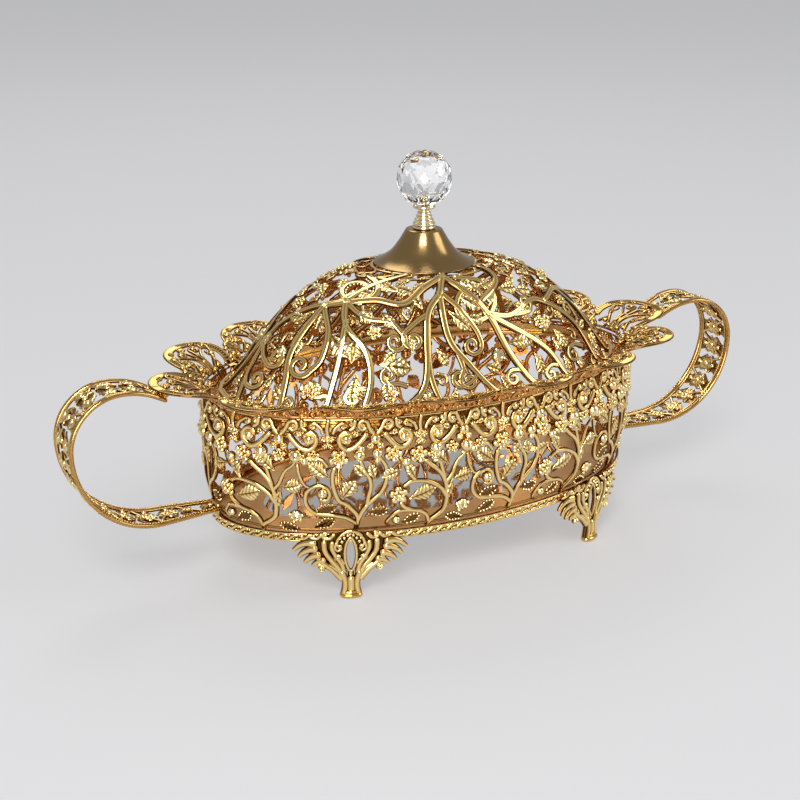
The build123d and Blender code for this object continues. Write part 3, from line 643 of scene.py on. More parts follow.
def lobe_work(work, foot, root):
    """One shell lobe: ribbed border scroll, fan of stems, tendrils and balls."""
    edge = arc(np.radians(np.linspace(-24, 204, LOBE_RIBS)), LOBE_EDGE)
    for share in (1.085, 0.88):
        work.wire(edge[::3] * share, 0.7)
    band = np.stack([edge * 0.89, edge * 1.08], 1)
    ribs = np.tile(np.cos(np.arange(LOBE_RIBS) * math.pi)[:, None], 2)
    # Painted highlight on every raised rib of the border, painted shade on the sunk ones
    work.sheet(band[..., 0], band[..., 1], 0.3 + 0.4 * ribs, -0.6, 0.66 + 0.3 * ribs)
    tall = 18.0 - root
    for side in SIDES:
        end = edge[0 if side > 0 else -1] * 0.985
        work.wire(scroll([end, end + (side * 0.4, -3.2)], -side, 3.4, 330), 1.1, 0.1, 0.2)
        work.ball(end[0] - side * 2.6, end[1] - 3.4, 1.7, 0.3)
        for way, radius, sweep, across, levels in LOBE_STEMS:
            ups = (foot, root, root + levels[0] * tall, root + levels[1] * tall)
            work.wire(scroll(mirrored(zip(across, ups), side), side * way, radius, sweep), 1.0, 0.2, 0.25)
        for across, level, radius, lift in LOBE_BALLS:
            work.ball(side * across, root + level * tall, radius, lift)
        work.ball(side * 4.2, root - 0.8, 1.4, 0.2)
        work.leaf(side * 9.4, root + 0.1 * tall, 90 - side * 28, 8.5, 4.0, 4)
        work.leaf(side * 12.6, root + 0.74 * tall, 90 + side * 50, 6.0, 3.4, 3)
        work.stem([(side * 12.4, foot), (side * 11.0, root), (side * 9.4, root + 0.1 * tall)], 1.0, 0.1)
    work.berries(0, root + 0.84 * tall, 2.9, 7)
    work.wire(arc(np.radians(np.linspace(0, 360, 19))) * (2.6, 4.0) + (0, root + 0.2 * tall), 0.8, 0.1)
    work.ball(0, root + 0.16 * tall, 1.4, 0.2)


def rim_collar(work):
    """Wire and beads at the flare's root and the small work between the lobes."""
    length = girth(LOBE_RUN)
    work.wire(level_line(length, 0.008, 361), 0.7, profile=FLAT)
    for bead in range(COLLAR_BEADS):
        work.ball(bead * length / COLLAR_BEADS, 0.022, 1.25 if bead % 2 else 0.9, 0.1, 8, 6)
    for gap in range(LOBES):
        middle = (gap + 0.5) / LOBES * length
        work.stem([(middle, 0.05), (middle, 0.2), (middle, 0.34)], 1.2, 0.1, 0.3)
        work.ball(middle, 0.38, 1.9, 0.3)
        for side in SIDES:
            work.stem(mirrored(((0, 0.12), (2.6, 0.18), (4.6, 0.28)), side, middle), 0.9, 0.1, 0.2)
            work.ball(middle + side * 4.6, 0.31, 1.5, 0.3)
            for out, share, radius in GAP_BALLS:
                work.ball(middle + side * out, share, radius, 0.2)
            work.stem(mirrored(GAP_CURL, side, middle), 0.9, 0.1)


def build_rim(gold):
    # All of the rim's painted light is scaled down to 0.74, as painted shade
    work = Relief(shade=0.74)
    for lobe in range(LOBES):
        work.form, foot, root = lobe_form(lobe)
        lobe_work(work, foot, root)
    work.form = Form(flare_at, (0.05, 0.001), True)
    rim_collar(work)
    dress_halves(work, "rim", gold)


# Openwork lid

LID_STEM_SIZE = 1.2
LID_LEAF_LENGTH, LID_LEAF_WIDTH = 1.16, 1.24
BARE = 3.1                   # millimetres without work that count as a gap
FILL_LEVELS = np.arange(0.36, 0.97, 0.043)
ROPED_SPIRALS = ((-79.5, 0.48), (-158, 0.44))
LID_HOOPS = ((0.25, 1.2), (0.335, 1.0), (0.988, 0.8))     # level and radius

# Grooved stems of the lid's front half: degrees round the lid and level as a share of its foot
LID_STEMS = (
    (2.0, ((-99, 0.30), (-99, 0.345), (-101, 0.42), (-103, 0.515), (-108.5, 0.63), (-107.5, 0.885),
         (-113, 0.985))),
    (1.6, ((-108.4, 0.66), (-106.5, 0.855), (-102.5, 0.985))),
    (1.8, ((-103, 0.50), (-100, 0.735), (-93, 0.855), (-85, 0.985))),
    (2.0, ((-99, 0.345), (-96, 0.38), (-85.5, 0.545), (-80.5, 0.68), (-78, 0.83), (-72.5, 0.985))),
    (1.8, ((-81, 0.67), (-63, 0.845), (-59.5, 0.985))),
    (1.7, ((-82, 0.66), (-71, 0.695), (-55.5, 0.655), (-46.5, 0.685), (-37, 0.815), (-41, 0.985))),
    (2.0, ((-100, 0.335), (-113, 0.445), (-121, 0.56), (-138, 0.535), (-154, 0.56), (-165, 0.6))),
    (1.9, ((-164, 0.59), (-162, 0.785), (-156.5, 0.885), (-152, 0.985))),
    (1.8, ((-154, 0.56), (-144.5, 0.67), (-131, 0.77), (-125.5, 0.87), (-125, 0.985))),
    (1.7, ((-145.5, 0.65), (-139.5, 0.805), (-136.5, 0.985))),
    (1.6, ((-156, 0.555), (-172, 0.62), (-184, 0.74), (-181, 0.86), (-173, 0.985))),
    (1.8, ((-154, 0.56), (-150, 0.42), (-138, 0.27))),
    (1.6, ((-46, 0.68), (-28, 0.66), (-14, 0.72), (-8, 0.84), (-12, 0.985))),
    (1.6, ((-26, 0.655), (-22, 0.8), (-27, 0.985))),
    (1.8, ((-82, 0.6), (-60, 0.47), (-46, 0.3))),
)
# Stems that end in a spiral: radius, side, spiral radius, points
LID_SPIRALS = (
    (1.5, -1, 5.6, ((-102.5, 0.5), (-94.5, 0.6), (-88.6, 0.72), (-87.4, 0.775))),
    (1.5, -1, 5.4, ((-152, 0.565), (-137, 0.635), (-125, 0.655), (-118, 0.71))),
    (1.6, -1, 6.4, ((-163, 0.6), (-151, 0.7), (-146.6, 0.8), (-149, 0.855))),
    (1.5, 1, 5.4, ((-108.8, 0.63), (-113, 0.66), (-117, 0.70))),
    (1.3, 1, 5.0, ((-97, 0.80), (-95.4, 0.86), (-96.5, 0.89))),
    (1.3, -1, 4.6, ((-91, 0.885), (-93, 0.91), (-96, 0.925))),
    (1.3, 1, 4.4, ((-74.8, 0.92), (-76, 0.905), (-79, 0.90))),
    (1.4, 1, 5.0, ((-71, 0.695), (-64, 0.70), (-60, 0.70))),
    (1.5, 1, 6.0, ((-182, 0.80), (-176, 0.83), (-170, 0.85))),
    (1.4, 1, 5.0, ((-179, 0.9), (-175, 0.925), (-171, 0.93))),
    (1.3, -1, 4.6, ((-160, 0.585), (-157, 0.52), (-155, 0.50))),
    (1.3, 1, 4.4, ((-126, 0.9), (-128.5, 0.9), (-131, 0.905))),
    (1.3, -1, 4.6, ((-113.5, 0.9), (-116, 0.89), (-119, 0.89))),
    (1.3, 1, 4.8, ((-43, 0.9), (-47, 0.88), (-50, 0.88))),
    (1.3, -1, 5.0, ((-22, 0.8), (-18, 0.83), (-15.4, 0.87))),
    (1.3, 1, 5.0, ((-35, 0.82), (-31, 0.80), (-28.6, 0.76))),
    (1.2, 1, 4.0, ((-60.5, 0.93), (-63, 0.92), (-65.4, 0.925))),
    (1.2, -1, 4.0, ((-136.8, 0.93), (-139, 0.925), (-141.5, 0.93))),
)
# Leaves: degrees, level, heading, length, width, veins
LID_LEAVES = (
    (-149, 0.71, -52, 13, 8.0, 5), (-137, 0.72, -100, 11, 6.4, 5), (-124, 0.82, -12, 14, 8.0, 5),
    (-77, 0.80, -8, 13, 7.0, 5), (-99, 0.62, -50, 12, 5.6, 5), (-93, 0.53, -40, 12, 5.6, 5),
    (-111, 0.60, 118, 12, 6.4, 5), (-131, 0.85, -100, 15, 7.6, 6), (-121, 0.86, -84, 13, 6.4, 5),
    (-158, 0.70, 100, 10, 5.4, 4), (-166, 0.72, -70, 11, 5.6, 5), (-91.5, 0.66, -20, 10, 5.0, 4),
    (-70, 0.75, -60, 11, 5.6, 5), (-65.5, 0.64, -30, 11, 6.0, 5), (-104.5, 0.78, -62, 9, 4.6, 4),
    (-98.5, 0.92, -100, 9, 4.4, 4), (-88, 0.86, -30, 9, 5.0, 4), (-68, 0.86, -75, 12, 5.6, 5),
    (-53, 0.80, -60, 12, 5.6, 5), (-50, 0.72, -120, 10, 5.4, 4), (-56, 0.90, -80, 9, 4.6, 4),
    (-117, 0.49, 160, 11, 6.0, 5), (-129, 0.47, 150, 12, 6.6, 5), (-108, 0.41, 200, 10, 5.4, 4),
    (-90, 0.42, -20, 10, 5.6, 4), (-78, 0.50, 10, 11, 6.0, 5), (-66, 0.54, -10, 11, 6.0, 5),
    (-56, 0.57, -20, 10, 5.6, 4), (-40, 0.60, -10, 10, 5.6, 4), (-32, 0.88, -84, 10, 5.0, 4),
    (-18, 0.76, -60, 10, 5.2, 4), (-5, 0.74, -80, 11, 5.6, 5), (-145, 0.60, -30, 10, 5.4, 4),
    (-140, 0.50, 170, 11, 6.0, 5), (-146, 0.87, -70, 9, 4.8, 4), (-168, 0.66, 190, 11, 5.6, 5),
    (-160.5, 0.90, -60, 9, 4.6, 4), (-166, 0.50, 120, 11, 6.0, 5), (-174, 0.54, 150, 11, 6.0, 5),
    (-131.5, 0.60, -60, 9, 5.0, 4), (-113, 0.79, 80, 8, 4.6, 4), (-118.6, 0.77, -140, 9, 5, 4),
    (-83.5, 0.91, -64, 8, 4.2, 4), (-3, 0.9, -95, 9, 4.6, 4), (-17, 0.93, -90, 8, 4.2, 4),
)
LID_ROSES = ((-145.5, 0.91, 5.4), (-118, 0.925, 4.4), (-130, 0.70, 4.2), (-58, 0.755, 4.0), (-32, 0.72, 4.2),
    (-6, 0.62, 4.4))
LID_BERRIES = ((-82, 0.84, 5.0), (-107, 0.94, 3.4), (-50, 0.95, 3.6), (-167, 0.80, 4.0), (-20, 0.6, 4.0),
    (-75, 0.59, 3.8), (-133, 0.94, 3.4))


def lid_half(work, start):
    """The lid's front half, or its back half from a start of 180 degrees."""
    for radius, points in LID_STEMS:
        work.stem(np.add(points, (start, 0)), radius * LID_STEM_SIZE, 0.4, 0.2, RIBBON, 8)
    for radius, side, turn, points in LID_SPIRALS:
        path = scroll_on(work.form, np.add(points, (start, 0)), side, turn)
        work.wire(path, radius * LID_STEM_SIZE, 0.4, 0.25, RIBBON)
    for turn, level, heading, length, width, veins in LID_LEAVES:
        work.leaf(start + turn, level, heading, length * LID_LEAF_LENGTH, width * LID_LEAF_WIDTH, veins)
    for turn, level, radius in LID_ROSES:
        work.rose(start + turn, level, radius, turn)
    for turn, level, radius in LID_BERRIES:
        work.berries(start + turn, level, radius)


def roped_spiral(work, turn, level):
    """Broad spiral with a row of beads along it, high on the lid."""
    path = scroll_on(work.form, ((turn - 9, level - 0.1), (turn + 3, level - 0.06)), -1, 10.5, 560, 0.2)
    work.wire(path, 2.3, 0.2, 0.5, RIBBON)
    middle = path[8:].mean(0)
    work.beads((path[:34] - middle) * 0.76 + middle, 0.85, 0.6)


def fill_gaps(work, rng):
    """Small curls and leaves wherever the larger work leaves the dome bare."""
    form = work.form
    taken = np.vstack(work.points)[::3]
    for level in FILL_LEVELS:
        step = 360 / max(10, int(54 * (level + 0.12)))
        for turn in np.arange(0, 360, step):
            spot = form.at(np.array([turn]), np.array([level]))[0]
            if np.min(np.linalg.norm(taken - spot, axis=1)) < BARE:
                continue
            heading = rng.uniform(0, 360)
            side = 1 if rng.random() < 0.5 else -1
            if rng.random() < 0.5:
                work.leaf(turn, level, heading, 8.6, 4.6, 4)
                work.ball(turn, level, 1.2, 0.4)
            else:
                start = form.near(turn, level, np.array([-3.5, 0.0]), np.zeros(2), heading)
                work.wire(scroll_on(form, np.column_stack(start), side, 3.0, 330), 0.9, 0.2, 0.2)
            taken = np.vstack([taken, spot])


def build_lid(gold):
    work = Relief(Form(dome_at, (0.05, 0.0005), True))
    for start in (0, 180):
        lid_half(work, start)
        for turn, level in ROPED_SPIRALS:
            roped_spiral(work, start + turn, level)
    fill_gaps(work, np.random.default_rng(7))
    for level, radius in LID_HOOPS:
        work.wire(level_line(360, level, 241), radius, profile=FLAT)
    for turn in np.arange(0, 360, 20):
        work.stem([(turn, 0.25), (turn + 8, 0.29), (turn, 0.335)], 0.9)
    dress(work.made("lid_filigree"), gold, "lid", "lid_shell")


# Handles

STRAP_REACH = 204.0
STRAP_HALF = 14.0            # half the strap's width at the loop
STRAP_TUCK = 9.0             # how much that narrows to the wall
STRAP_MIDDLE = 1.2           # middle of the strap's thickness inside its outer face
STRAP_TOP, STRAP_LOW = 114.1, 38.5
UPPER_TURN, LOWER_TURN = 28.0, 47.5
STRAP_START = (156.4, 109.1)
STRAP_UNITS = 15
# Lugs under the rim and at the wall: two corners of each
STRAP_LUGS = (((147.9, -5, 105.0), (153.9, 5, 108.9)), ((123.4, -5, 35.2), (125.6, 5, 41.8)))


def strap_line():
    """Run along the strap and its middle line in its own plane, from under the rim to the wall."""
    run_in, rise = 19.6, STRAP_TOP - STRAP_START[1]
    lean = 2 * math.atan(rise / run_in)
    way = np.array([math.cos(lean), math.sin(lean)])
    points = [[STRAP_START - way * 12 + np.array([way[1], -way[0]]) * STRAP_MIDDLE]]
    bow = run_in / math.sin(lean)
    upper_x = STRAP_REACH - UPPER_TURN
    arcs = (
        (upper_x, STRAP_TOP - bow, bow, 90 + math.degrees(lean), 90, 8),
        (upper_x, STRAP_TOP - UPPER_TURN, UPPER_TURN, 90, 0, 26),
        (STRAP_REACH - LOWER_TURN, STRAP_LOW + LOWER_TURN, LOWER_TURN, 0, -90, 30),
    )
    for x, z, radius, begin, end, count in arcs:
        points.append(arc(np.radians(np.linspace(begin, end, count)), radius - STRAP_MIDDLE) + (x, z))
    points.append(level_line(121.5, STRAP_LOW + STRAP_MIDDLE, 8, 150))
    line = np.vstack(points)
    return np.concatenate(([0], np.cumsum(np.linalg.norm(np.diff(line, axis=0), axis=1)))), line


STRAP_RUN, STRAP_LINE = strap_line()


def strap_half(x):
    """Half the strap's width at a distance from the middle."""
    bend = ((STRAP_REACH - FOOT[0]) ** 2 + STRAP_TUCK ** 2) / (2 * STRAP_TUCK)
    return STRAP_HALF - (bend - np.sqrt(bend ** 2 - (STRAP_REACH - x) ** 2))


def strap_work(work):
    """Two edge wires with leaves, curls and balls between them."""
    length = STRAP_RUN[-1]
    ends = {"end": length - 0.5, "count": 121, "start": 6.5}
    for side in SIDES:
        work.wire(level_line(level=side * 0.90, **ends), 1.3, profile=BRIGHT)
        work.wire(level_line(level=side * 0.72, **ends), 0.55, 0.1, profile=BOTH)
    for unit_no in range(STRAP_UNITS):
        a = 5 + (length - 5) * (unit_no + 0.5) / STRAP_UNITS
        half = float(strap_half(np.interp(a, STRAP_RUN, STRAP_LINE[:, 0])))
        big = half > 9.5
        flip = 1 if unit_no % 2 else -1
        for side in SIDES:
            work.leaf(a - 5.4, side * 0.16, side * 34, half * 0.9, half * 0.42, 3, 0.8)
            if big:
                work.leaf(a + 5.4, side * 0.2, 180 - side * 42, half * 0.74, half * 0.36, 3, 0.8)
                work.ball(a + 0.4, side * 0.42, 1.5, 0.5)
        bow = np.array([(-5.6, -0.66), (-2.0, -0.18), (2.0, 0.18), (5.6, 0.66)]) * (1, flip)
        work.stem(bow + (a, 0), 0.9, 0.1, profile=BOTH)
        work.ball(a, 0.0, 1.7 if big else 1.3, 0.5)
    for side in SIDES:
        work.beads(level_line(level=side * 0.9, **ends)[70:118], 0.62, 1.0, 2.6)


def slab(work, low, high, side):
    """Small closed block with softened edges, mirrored to a side."""
    low, high = np.array(low, float), np.array(high, float)
    middle, half = (low + high) / 2, (high - low) / 2
    corner = arc(np.radians(np.arange(0, 360, 30) + 15))
    corner = np.sign(corner) * np.abs(corner) ** 0.35
    rings = []
    for level, inset in ((0, 0.999), (0, 0.2), (0.3, 0), (0.7, 0), (1, 0.2), (1, 0.999)):
        spots = middle[:2] + (half[:2] - min(half[:2]) * inset) * corner
        rings.append(np.column_stack([spots, np.full(len(corner), low[2] + level * (high[2] - low[2]))]))
    work.put(np.vstack(rings) * (side, 1, 1), quads(len(rings), len(corner), True)[:, ::side])


def strap_form(side, inner):
    """A strap's middle skin, seen from outside or inside: millimetres along and a share of its half width."""

    def strap_at(along, across):
        x = np.interp(along, STRAP_RUN, STRAP_LINE[:, 0])
        z = np.interp(along, STRAP_RUN, STRAP_LINE[:, 1])
        return np.stack([side * x, side * across * strap_half(x), z], -1)

    return Form(strap_at, (0.1, 0.005), inner)


def build_handles(gold):
    for name, side in (("right_handle", 1), ("left_handle", -1)):
        # Handles' painted light: back skins at 0.5, all work scaled to 0.95
        work = Relief(back=0.5, shade=0.95)
        for inner in (False, True):
            work.form = strap_form(side, inner)
            strap_work(work)
        for low, high in STRAP_LUGS:
            slab(work, low, high, side)
        dress(work.made(name + "_filigree"), gold, "basket", name)


# Feet

FOOT_PLACES = (("foot_back_right", 1, 1), ("foot_back_left", -1, 1), ("foot_front_left", -1, -1),
               ("foot_front_right", 1, -1))

FAN_OUTSET = 1.3             # fan's surface outside the trim's face
# Half of the fan: wires as radius, taper and points along and up, and balls
FAN_WIRES = (
    (1.75, 0.0, ((4.4, 10.6), (6.2, 16.4), (10.0, 21.4), (13.0, 26.4), (13.4, 31.6))),
    (1.75, 0.0, ((4.9, 10.4), (9.2, 15.6), (14.6, 20.2), (17.8, 25.4), (18.4, 30.8))),
    (1.5, 0.0, ((3.4, 14.0), (4.6, 18.6), (7.4, 23.2), (9.4, 27.4), (9.4, 31.0))),
    (2.8, 0.6, ((18.4, 30.6), (21.6, 30.8), (25.4, 29.4), (28.8, 26.4))),
    (2.8, 0.6, ((17.8, 27.8), (20.6, 27.2), (23.8, 25.4), (26.2, 22.8))),
    (2.7, 0.6, ((16.2, 24.4), (18.8, 23.6), (21.4, 21.8), (23.2, 19.8))),
    (2.3, 0.6, ((13.6, 21.2), (16.0, 20.6), (18.0, 19.4), (19.4, 18.0))),
    (1.4, 0.1, ((5.2, 13.8), (9.2, 17.2), (13.2, 18.6), (16.4, 18.4))),
    (1.1, 0.1, ((3.4, 19.0), (5.2, 21.4), (7.4, 21.4), (8.2, 23.2))),
    (1.0, 0.2, ((7.2, 30.6), (8.0, 27.8), (6.4, 26.2), (4.8, 27.4), (5.2, 28.8))),
    (1.0, 0.0, ((7.4, 29.0), (6.2, 33.0), (3.2, 36.0), (0.0, 37.1))),
    (1.3, 0.3, ((8.4, 35.4), (10.8, 33.2), (13.6, 33.6), (13.6, 35.8), (12.0, 36.0))),
    (1.3, 0.3, ((14.6, 35.4), (17.0, 33.2), (19.8, 33.4), (19.8, 35.2))),
    (1.2, 0.3, ((20.6, 35.0), (23.2, 33.0), (26.4, 32.6))),
)
FAN_BALLS = (
    (14.8, 16.3, 2.2), (6.4, 23.0, 1.7), (5.6, 28.6, 1.4), (1.4, 34.6, 0.9), (3.1, 33.2, 0.95),
    (4.4, 31.2, 1.0),
    (1.5, 36.2, 0.7), (3.4, 34.9, 0.7), (5.2, 32.9, 0.7), (12.6, 34.9, 1.0), (18.6, 34.6, 1.0),
    (24.4, 34.2, 1.0),
)


def foot_form(side_x, side_y):
    """Surface outside the trim that a foot's fan follows, from its middle along and up."""
    swing = side_y * (FOOT_SWING if side_x > 0 else math.pi - FOOT_SWING)
    middle = float(np.interp(swing, SWINGS, TRIM_RUN))

    def foot_at(along, up):
        swing = np.interp(middle + along, TRIM_RUN, SWINGS)
        return level_ring(TRIM[0] + FAN_OUTSET, TRIM[1] + FAN_OUTSET, swing, up)

    return Form(foot_at)


def foot_back(work):
    """Thin sheet behind the fan, open at its middle slot, painted dark as shade between the flutes."""
    rows = np.linspace(0, 1, 15)
    slot_z = 15.6 + 16.4 * rows
    slot_x = 2.5 * np.sin(math.pi * (slot_z - 15) / 17.6) + 0.3
    edge_x = np.interp(rows, (0, 0.15, 0.4, 0.75, 1), (4.6, 12.0, 23.0, 23.0, 2.0))
    edge_z = np.interp(rows, (0, 0.15, 0.4, 0.75, 1), (15.4, 19.6, 25.0, 32.2, 36.6))
    share = np.linspace(0, 1, 6)
    u = slot_x[:, None] * (1 - share) + edge_x[:, None] * share
    v = slot_z[:, None] * (1 - share) + edge_z[:, None] * share
    for side in SIDES:
        work.sheet(side * u[:, ::side], v[:, ::side], -0.3, -1.1, 0.33)


def foot_leg(work):
    """Waisted leg with three flutes and its pad of two stacked mouldings."""
    for x in (-3.2, 0.0, 3.2):
        leg = [(x * 1.15, 2.6), (x * 0.95, 6.0), (x * 0.95, 9.5), (x * 1.2, 12.6), (x * 1.4, 14.4)]
        if x:
            work.stem(leg, 1.8, 0.6)
        else:
            work.stem([(0, 4.4), (0, 6.6), (0, 9.0), (0, 11.0)], 2.5, 0.2)
        work.stem(leg, 1.7, -0.9)
    turn = full_turn(24)
    across = 4.6 * np.sign(np.cos(turn)) * np.abs(np.cos(turn)) ** 0.6
    for z, reach, radius in ((1.4, 1.0, 1.4), (3.1, 0.84, 0.8)):
        u, v = reach * across, np.full(len(turn), z)
        spots = work.form.at(u, v) + work.form.slopes(u, v)[2] * (2.4 * reach * np.sin(turn))[:, None]
        middle = spots.mean(0)
        outward = unit(spots - middle)
        rings = [np.tile(middle - (0, 0, radius * 0.95), (len(turn), 1))]
        for angle in np.radians((-90, -45, 0, 45, 90)):
            rings.append(spots + outward * radius * math.cos(angle) + (0, 0, radius * 0.95 * math.sin(angle)))
        rings.append(rings[0] + (0, 0, 1.9 * radius))
        work.put(np.vstack(rings), quads(len(rings), len(turn), True)[:, ::-1])


def build_feet(gold):
    slot = np.radians(np.linspace(0, 360, 29))
    border = np.column_stack([3.0 * np.sin(slot) * np.abs(np.sin(slot)) ** 0.3, 24.0 - 9.4 * np.cos(slot)])
    for name, side_x, side_y in FOOT_PLACES:
        work = Relief(foot_form(side_x, side_y))
        foot_back(work)
        foot_leg(work)
        work.wire(border, 0.9, 0.4)
        for side in SIDES:
            for radius, taper, points in FAN_WIRES:
                work.stem(mirrored(points, side), radius, 0.3, taper)
            for x, z, radius in FAN_BALLS:
                work.ball(side * x, z, radius, 0.4)
        dress(work.made(name + "_leaf"), gold, "basket", name)


# Cap, neck and crystal

STUD_HOLE = 2.2


def turned(name, outline, foot, sides):
    """Turned piece about the lid's axis from radii and heights over its foot."""
    turn = full_turn(sides)
    radius, z = np.array(outline).T[:, :, None]
    rings = np.stack([radius * np.cos(turn), radius * np.sin(turn), foot + z + 0 * turn], -1)
    work = Relief()
    work.put(rings.reshape(-1, 3), quads(len(outline), sides, True))
    return work.made(name)


def build_cap(satin):
    """Spun cone with a thin wall and a rolled edge."""
    bends = [(26.9, 0.5), (24.4, 1.6), (20.6, 3.9), (17.2, 6.8), (13.6, 11.6), (11.2, 15.6), (9.7, 18.0)]
    skirt = smooth(bends, 6)
    inside = skirt[::-1][2:-2] - (1.0, 0.9)
    outline = np.vstack([[(25.9, 0.75), (26.5, 0.1), (27.0, 0.15)], skirt, [(STUD_HOLE, CAP_HEIGHT)],
                         [(STUD_HOLE, CAP_HEIGHT - 1), (8.8, CAP_HEIGHT - 1.1)], inside, [(25.9, 0.75)]])
    dress(turned("spun_cap", outline, CROWN_Z, 128), satin, "lid", "lid_cap")


def build_neck(brass):
    """Stepped ferrule of narrowing mouldings under a collar."""
    outline = [
        (STUD_HOLE, 0), (5.6, 0), (6.05, 0.4), (6.05, 1.4), (5.7, 1.6), (5.7, 1.8), (6.05, 2.0), (6.05, 3.0),
        (5.7, 3.4), (4.9, 3.5), (5.15, 3.9), (5.15, 5.0), (4.8, 5.3), (4.1, 5.4), (4.35, 5.8), (4.35, 6.9),
        (4.0, 7.2), (3.5, 7.3), (3.7, 7.7), (3.7, 8.8), (3.3, 9.1), (3.0, 9.3), (3.0, 10.9), (4.6, 11.0),
        (5.9, 11.2), (6.05, 11.6), (6.0, 12.3), (5.5, NECK_HEIGHT), (STUD_HOLE, NECK_HEIGHT),
    ]
    dress(turned("ferrule", outline, CROWN_Z + CAP_HEIGHT, 64), brass, "lid", "knob_neck")


def build_crystal(glass):
    """Ball cut with rows of flat facets, round a bore for the stud."""
    latitudes = (-72, -48, -24, 0, 24, 48, 70)
    sides, bore, depth = 12, 2.14, 8.1
    foot = CROWN_Z + CAP_HEIGHT + NECK_HEIGHT
    centre = foot + 15 * math.sin(math.radians(72))

    def ring(radius, z, shift=0.0):
        return [(x, y, z) for x, y in arc(full_turn(sides) + 2 * math.pi * shift / sides, radius)]

    verts, faces = [], []
    for row, (reach, rise) in enumerate(arc(np.radians(latitudes), BALL_RADIUS)):
        verts += ring(reach, centre + rise, row % 2 / 2)
    verts.append((0, 0, centre + BALL_RADIUS))
    hole = len(verts)
    verts += ring(bore, foot) + ring(bore, foot + depth)
    top = hole - 1 - sides
    for k in range(sides):
        after = (k + 1) % sides
        for row in range(len(latitudes) - 1):
            a, b, shift = row * sides + k, row * sides + after, row % 2
            c, d = ((row + 1) * sides + (k + extra + shift) % sides for extra in (0, 1))
            faces += [(a, b, c), (b, d, c)]
        faces.append((top + k, top + after, hole - 1))
        faces.append((hole + k, hole + after, after, k))
        faces.append((hole + sides + k, hole + sides + after, hole + after, hole + k))
    faces.append(tuple(hole + sides + k for k in range(sides)))
    mesh = bpy.data.meshes.new("crystal_ball")
    mesh.from_pydata(np.array(verts) * MM, [], faces)
    mesh.validate()
    dress(placed("crystal_ball", mesh), glass, "lid", "crystal_knob")


# Materials

WHITE = (1, 1, 1, 1)


def feed(tree, node, inputs):
    """Sets a node's sockets to values, or links them where the value is another node's output."""
    for name, value in inputs.items():
        if isinstance(value, bpy.types.NodeSocket):
            tree.links.new(value, node.inputs[name])
        else:
            node.inputs[name].default_value = value


def add(tree, kind, inputs=(), **settings):
    """New node of a kind with its settings and what its sockets take."""
    node = tree.nodes.new("ShaderNode" + kind)
    for name, value in settings.items():
        setattr(node, name, value)
    feed(tree, node, dict(inputs))
    return node


def ramp(tree, factor, stops):
    """Colour of a ramp through stops of position and colour."""
    node = add(tree, "ValToRGB", {"Fac": factor})
    elements = node.color_ramp.elements
    while len(elements) < len(stops):
        elements.new(0.5)
    for element, (position, colour) in zip(elements, stops):
        element.position = position
        element.color = (*colour, 1)
    return node.outputs["Color"]


def new_material(name):
    """New material with its node tree and its shader."""
    material = bpy.data.materials.new(name)
    material.use_nodes = True
    tree = material.node_tree
    return material, tree, tree.nodes["Principled BSDF"]


def metal(name, low, high, rough, scale, bump):
    """Plated metal with slow colour drift, uneven polish and a fine cast skin."""
    material, tree, shader = new_material(name)
    place = add(tree, "TexCoord").outputs["Object"]
    drift = add(tree, "TexNoise", {"Vector": place, "Scale": scale, "Detail": 4.0})
    wear = add(tree, "TexNoise", {"Vector": place, "Scale": scale * 6, "Detail": 6.0}).outputs["Fac"]
    polish = add(tree, "MapRange", {
        "Value": wear, "From Min": 0.3, "From Max": 0.7, "To Min": rough[0], "To Max": rough[1],
    })
    skin = add(tree, "Bump", {"Height": wear, "Strength": bump, "Distance": 0.0003})
    feed(tree, shader, {
        "Metallic": 1.0, "Base Color": ramp(tree, drift.outputs["Fac"], ((0.3, low), (0.7, high))),
        "Roughness": polish.outputs["Result"], "Normal": skin.outputs["Normal"],
    })
    return material


def remix(tree, socket, factor, value, **settings):
    """Mixes what feeds a socket with a value."""
    mix = add(tree, "Mix", {"Factor": factor, "A": socket.links[0].from_socket, "B": value}, **settings)
    tree.links.new(mix.outputs["Result"], socket)


def carved_gold():
    """Polished gold whose colour carries painted light and shade: painted shade in recesses and at wire
    sides, painted highlights on crests.
    """
    material = metal("carved_gold", (0.9, 0.86, 0.8), (1.0, 1.0, 1.0), (0.04, 0.12), 14, 0.06)
    tree = material.node_tree
    # Painted light and shade: each point's painted value picks a colour from the painted back brown, through
    # near-black painted shade, to a pale painted highlight
    light_and_shade = ramp(tree, add(tree, "Attribute", attribute_name="painted_light").outputs["Fac"], (
        (0.0, (0.66, 0.34, 0.11)), (0.1, (0.48, 0.24, 0.08)), (0.28, (0.045, 0.022, 0.007)),
        (0.42, (0.24, 0.12, 0.03)), (0.60, (0.72, 0.44, 0.13)), (0.80, (0.97, 0.68, 0.25)),
        (1.0, (1.0, 0.85, 0.46)),
    ))
    colour = tree.nodes["Principled BSDF"].inputs["Base Color"]
    remix(tree, colour, 1.0, light_and_shade, data_type="RGBA", blend_type="MULTIPLY")
    return material


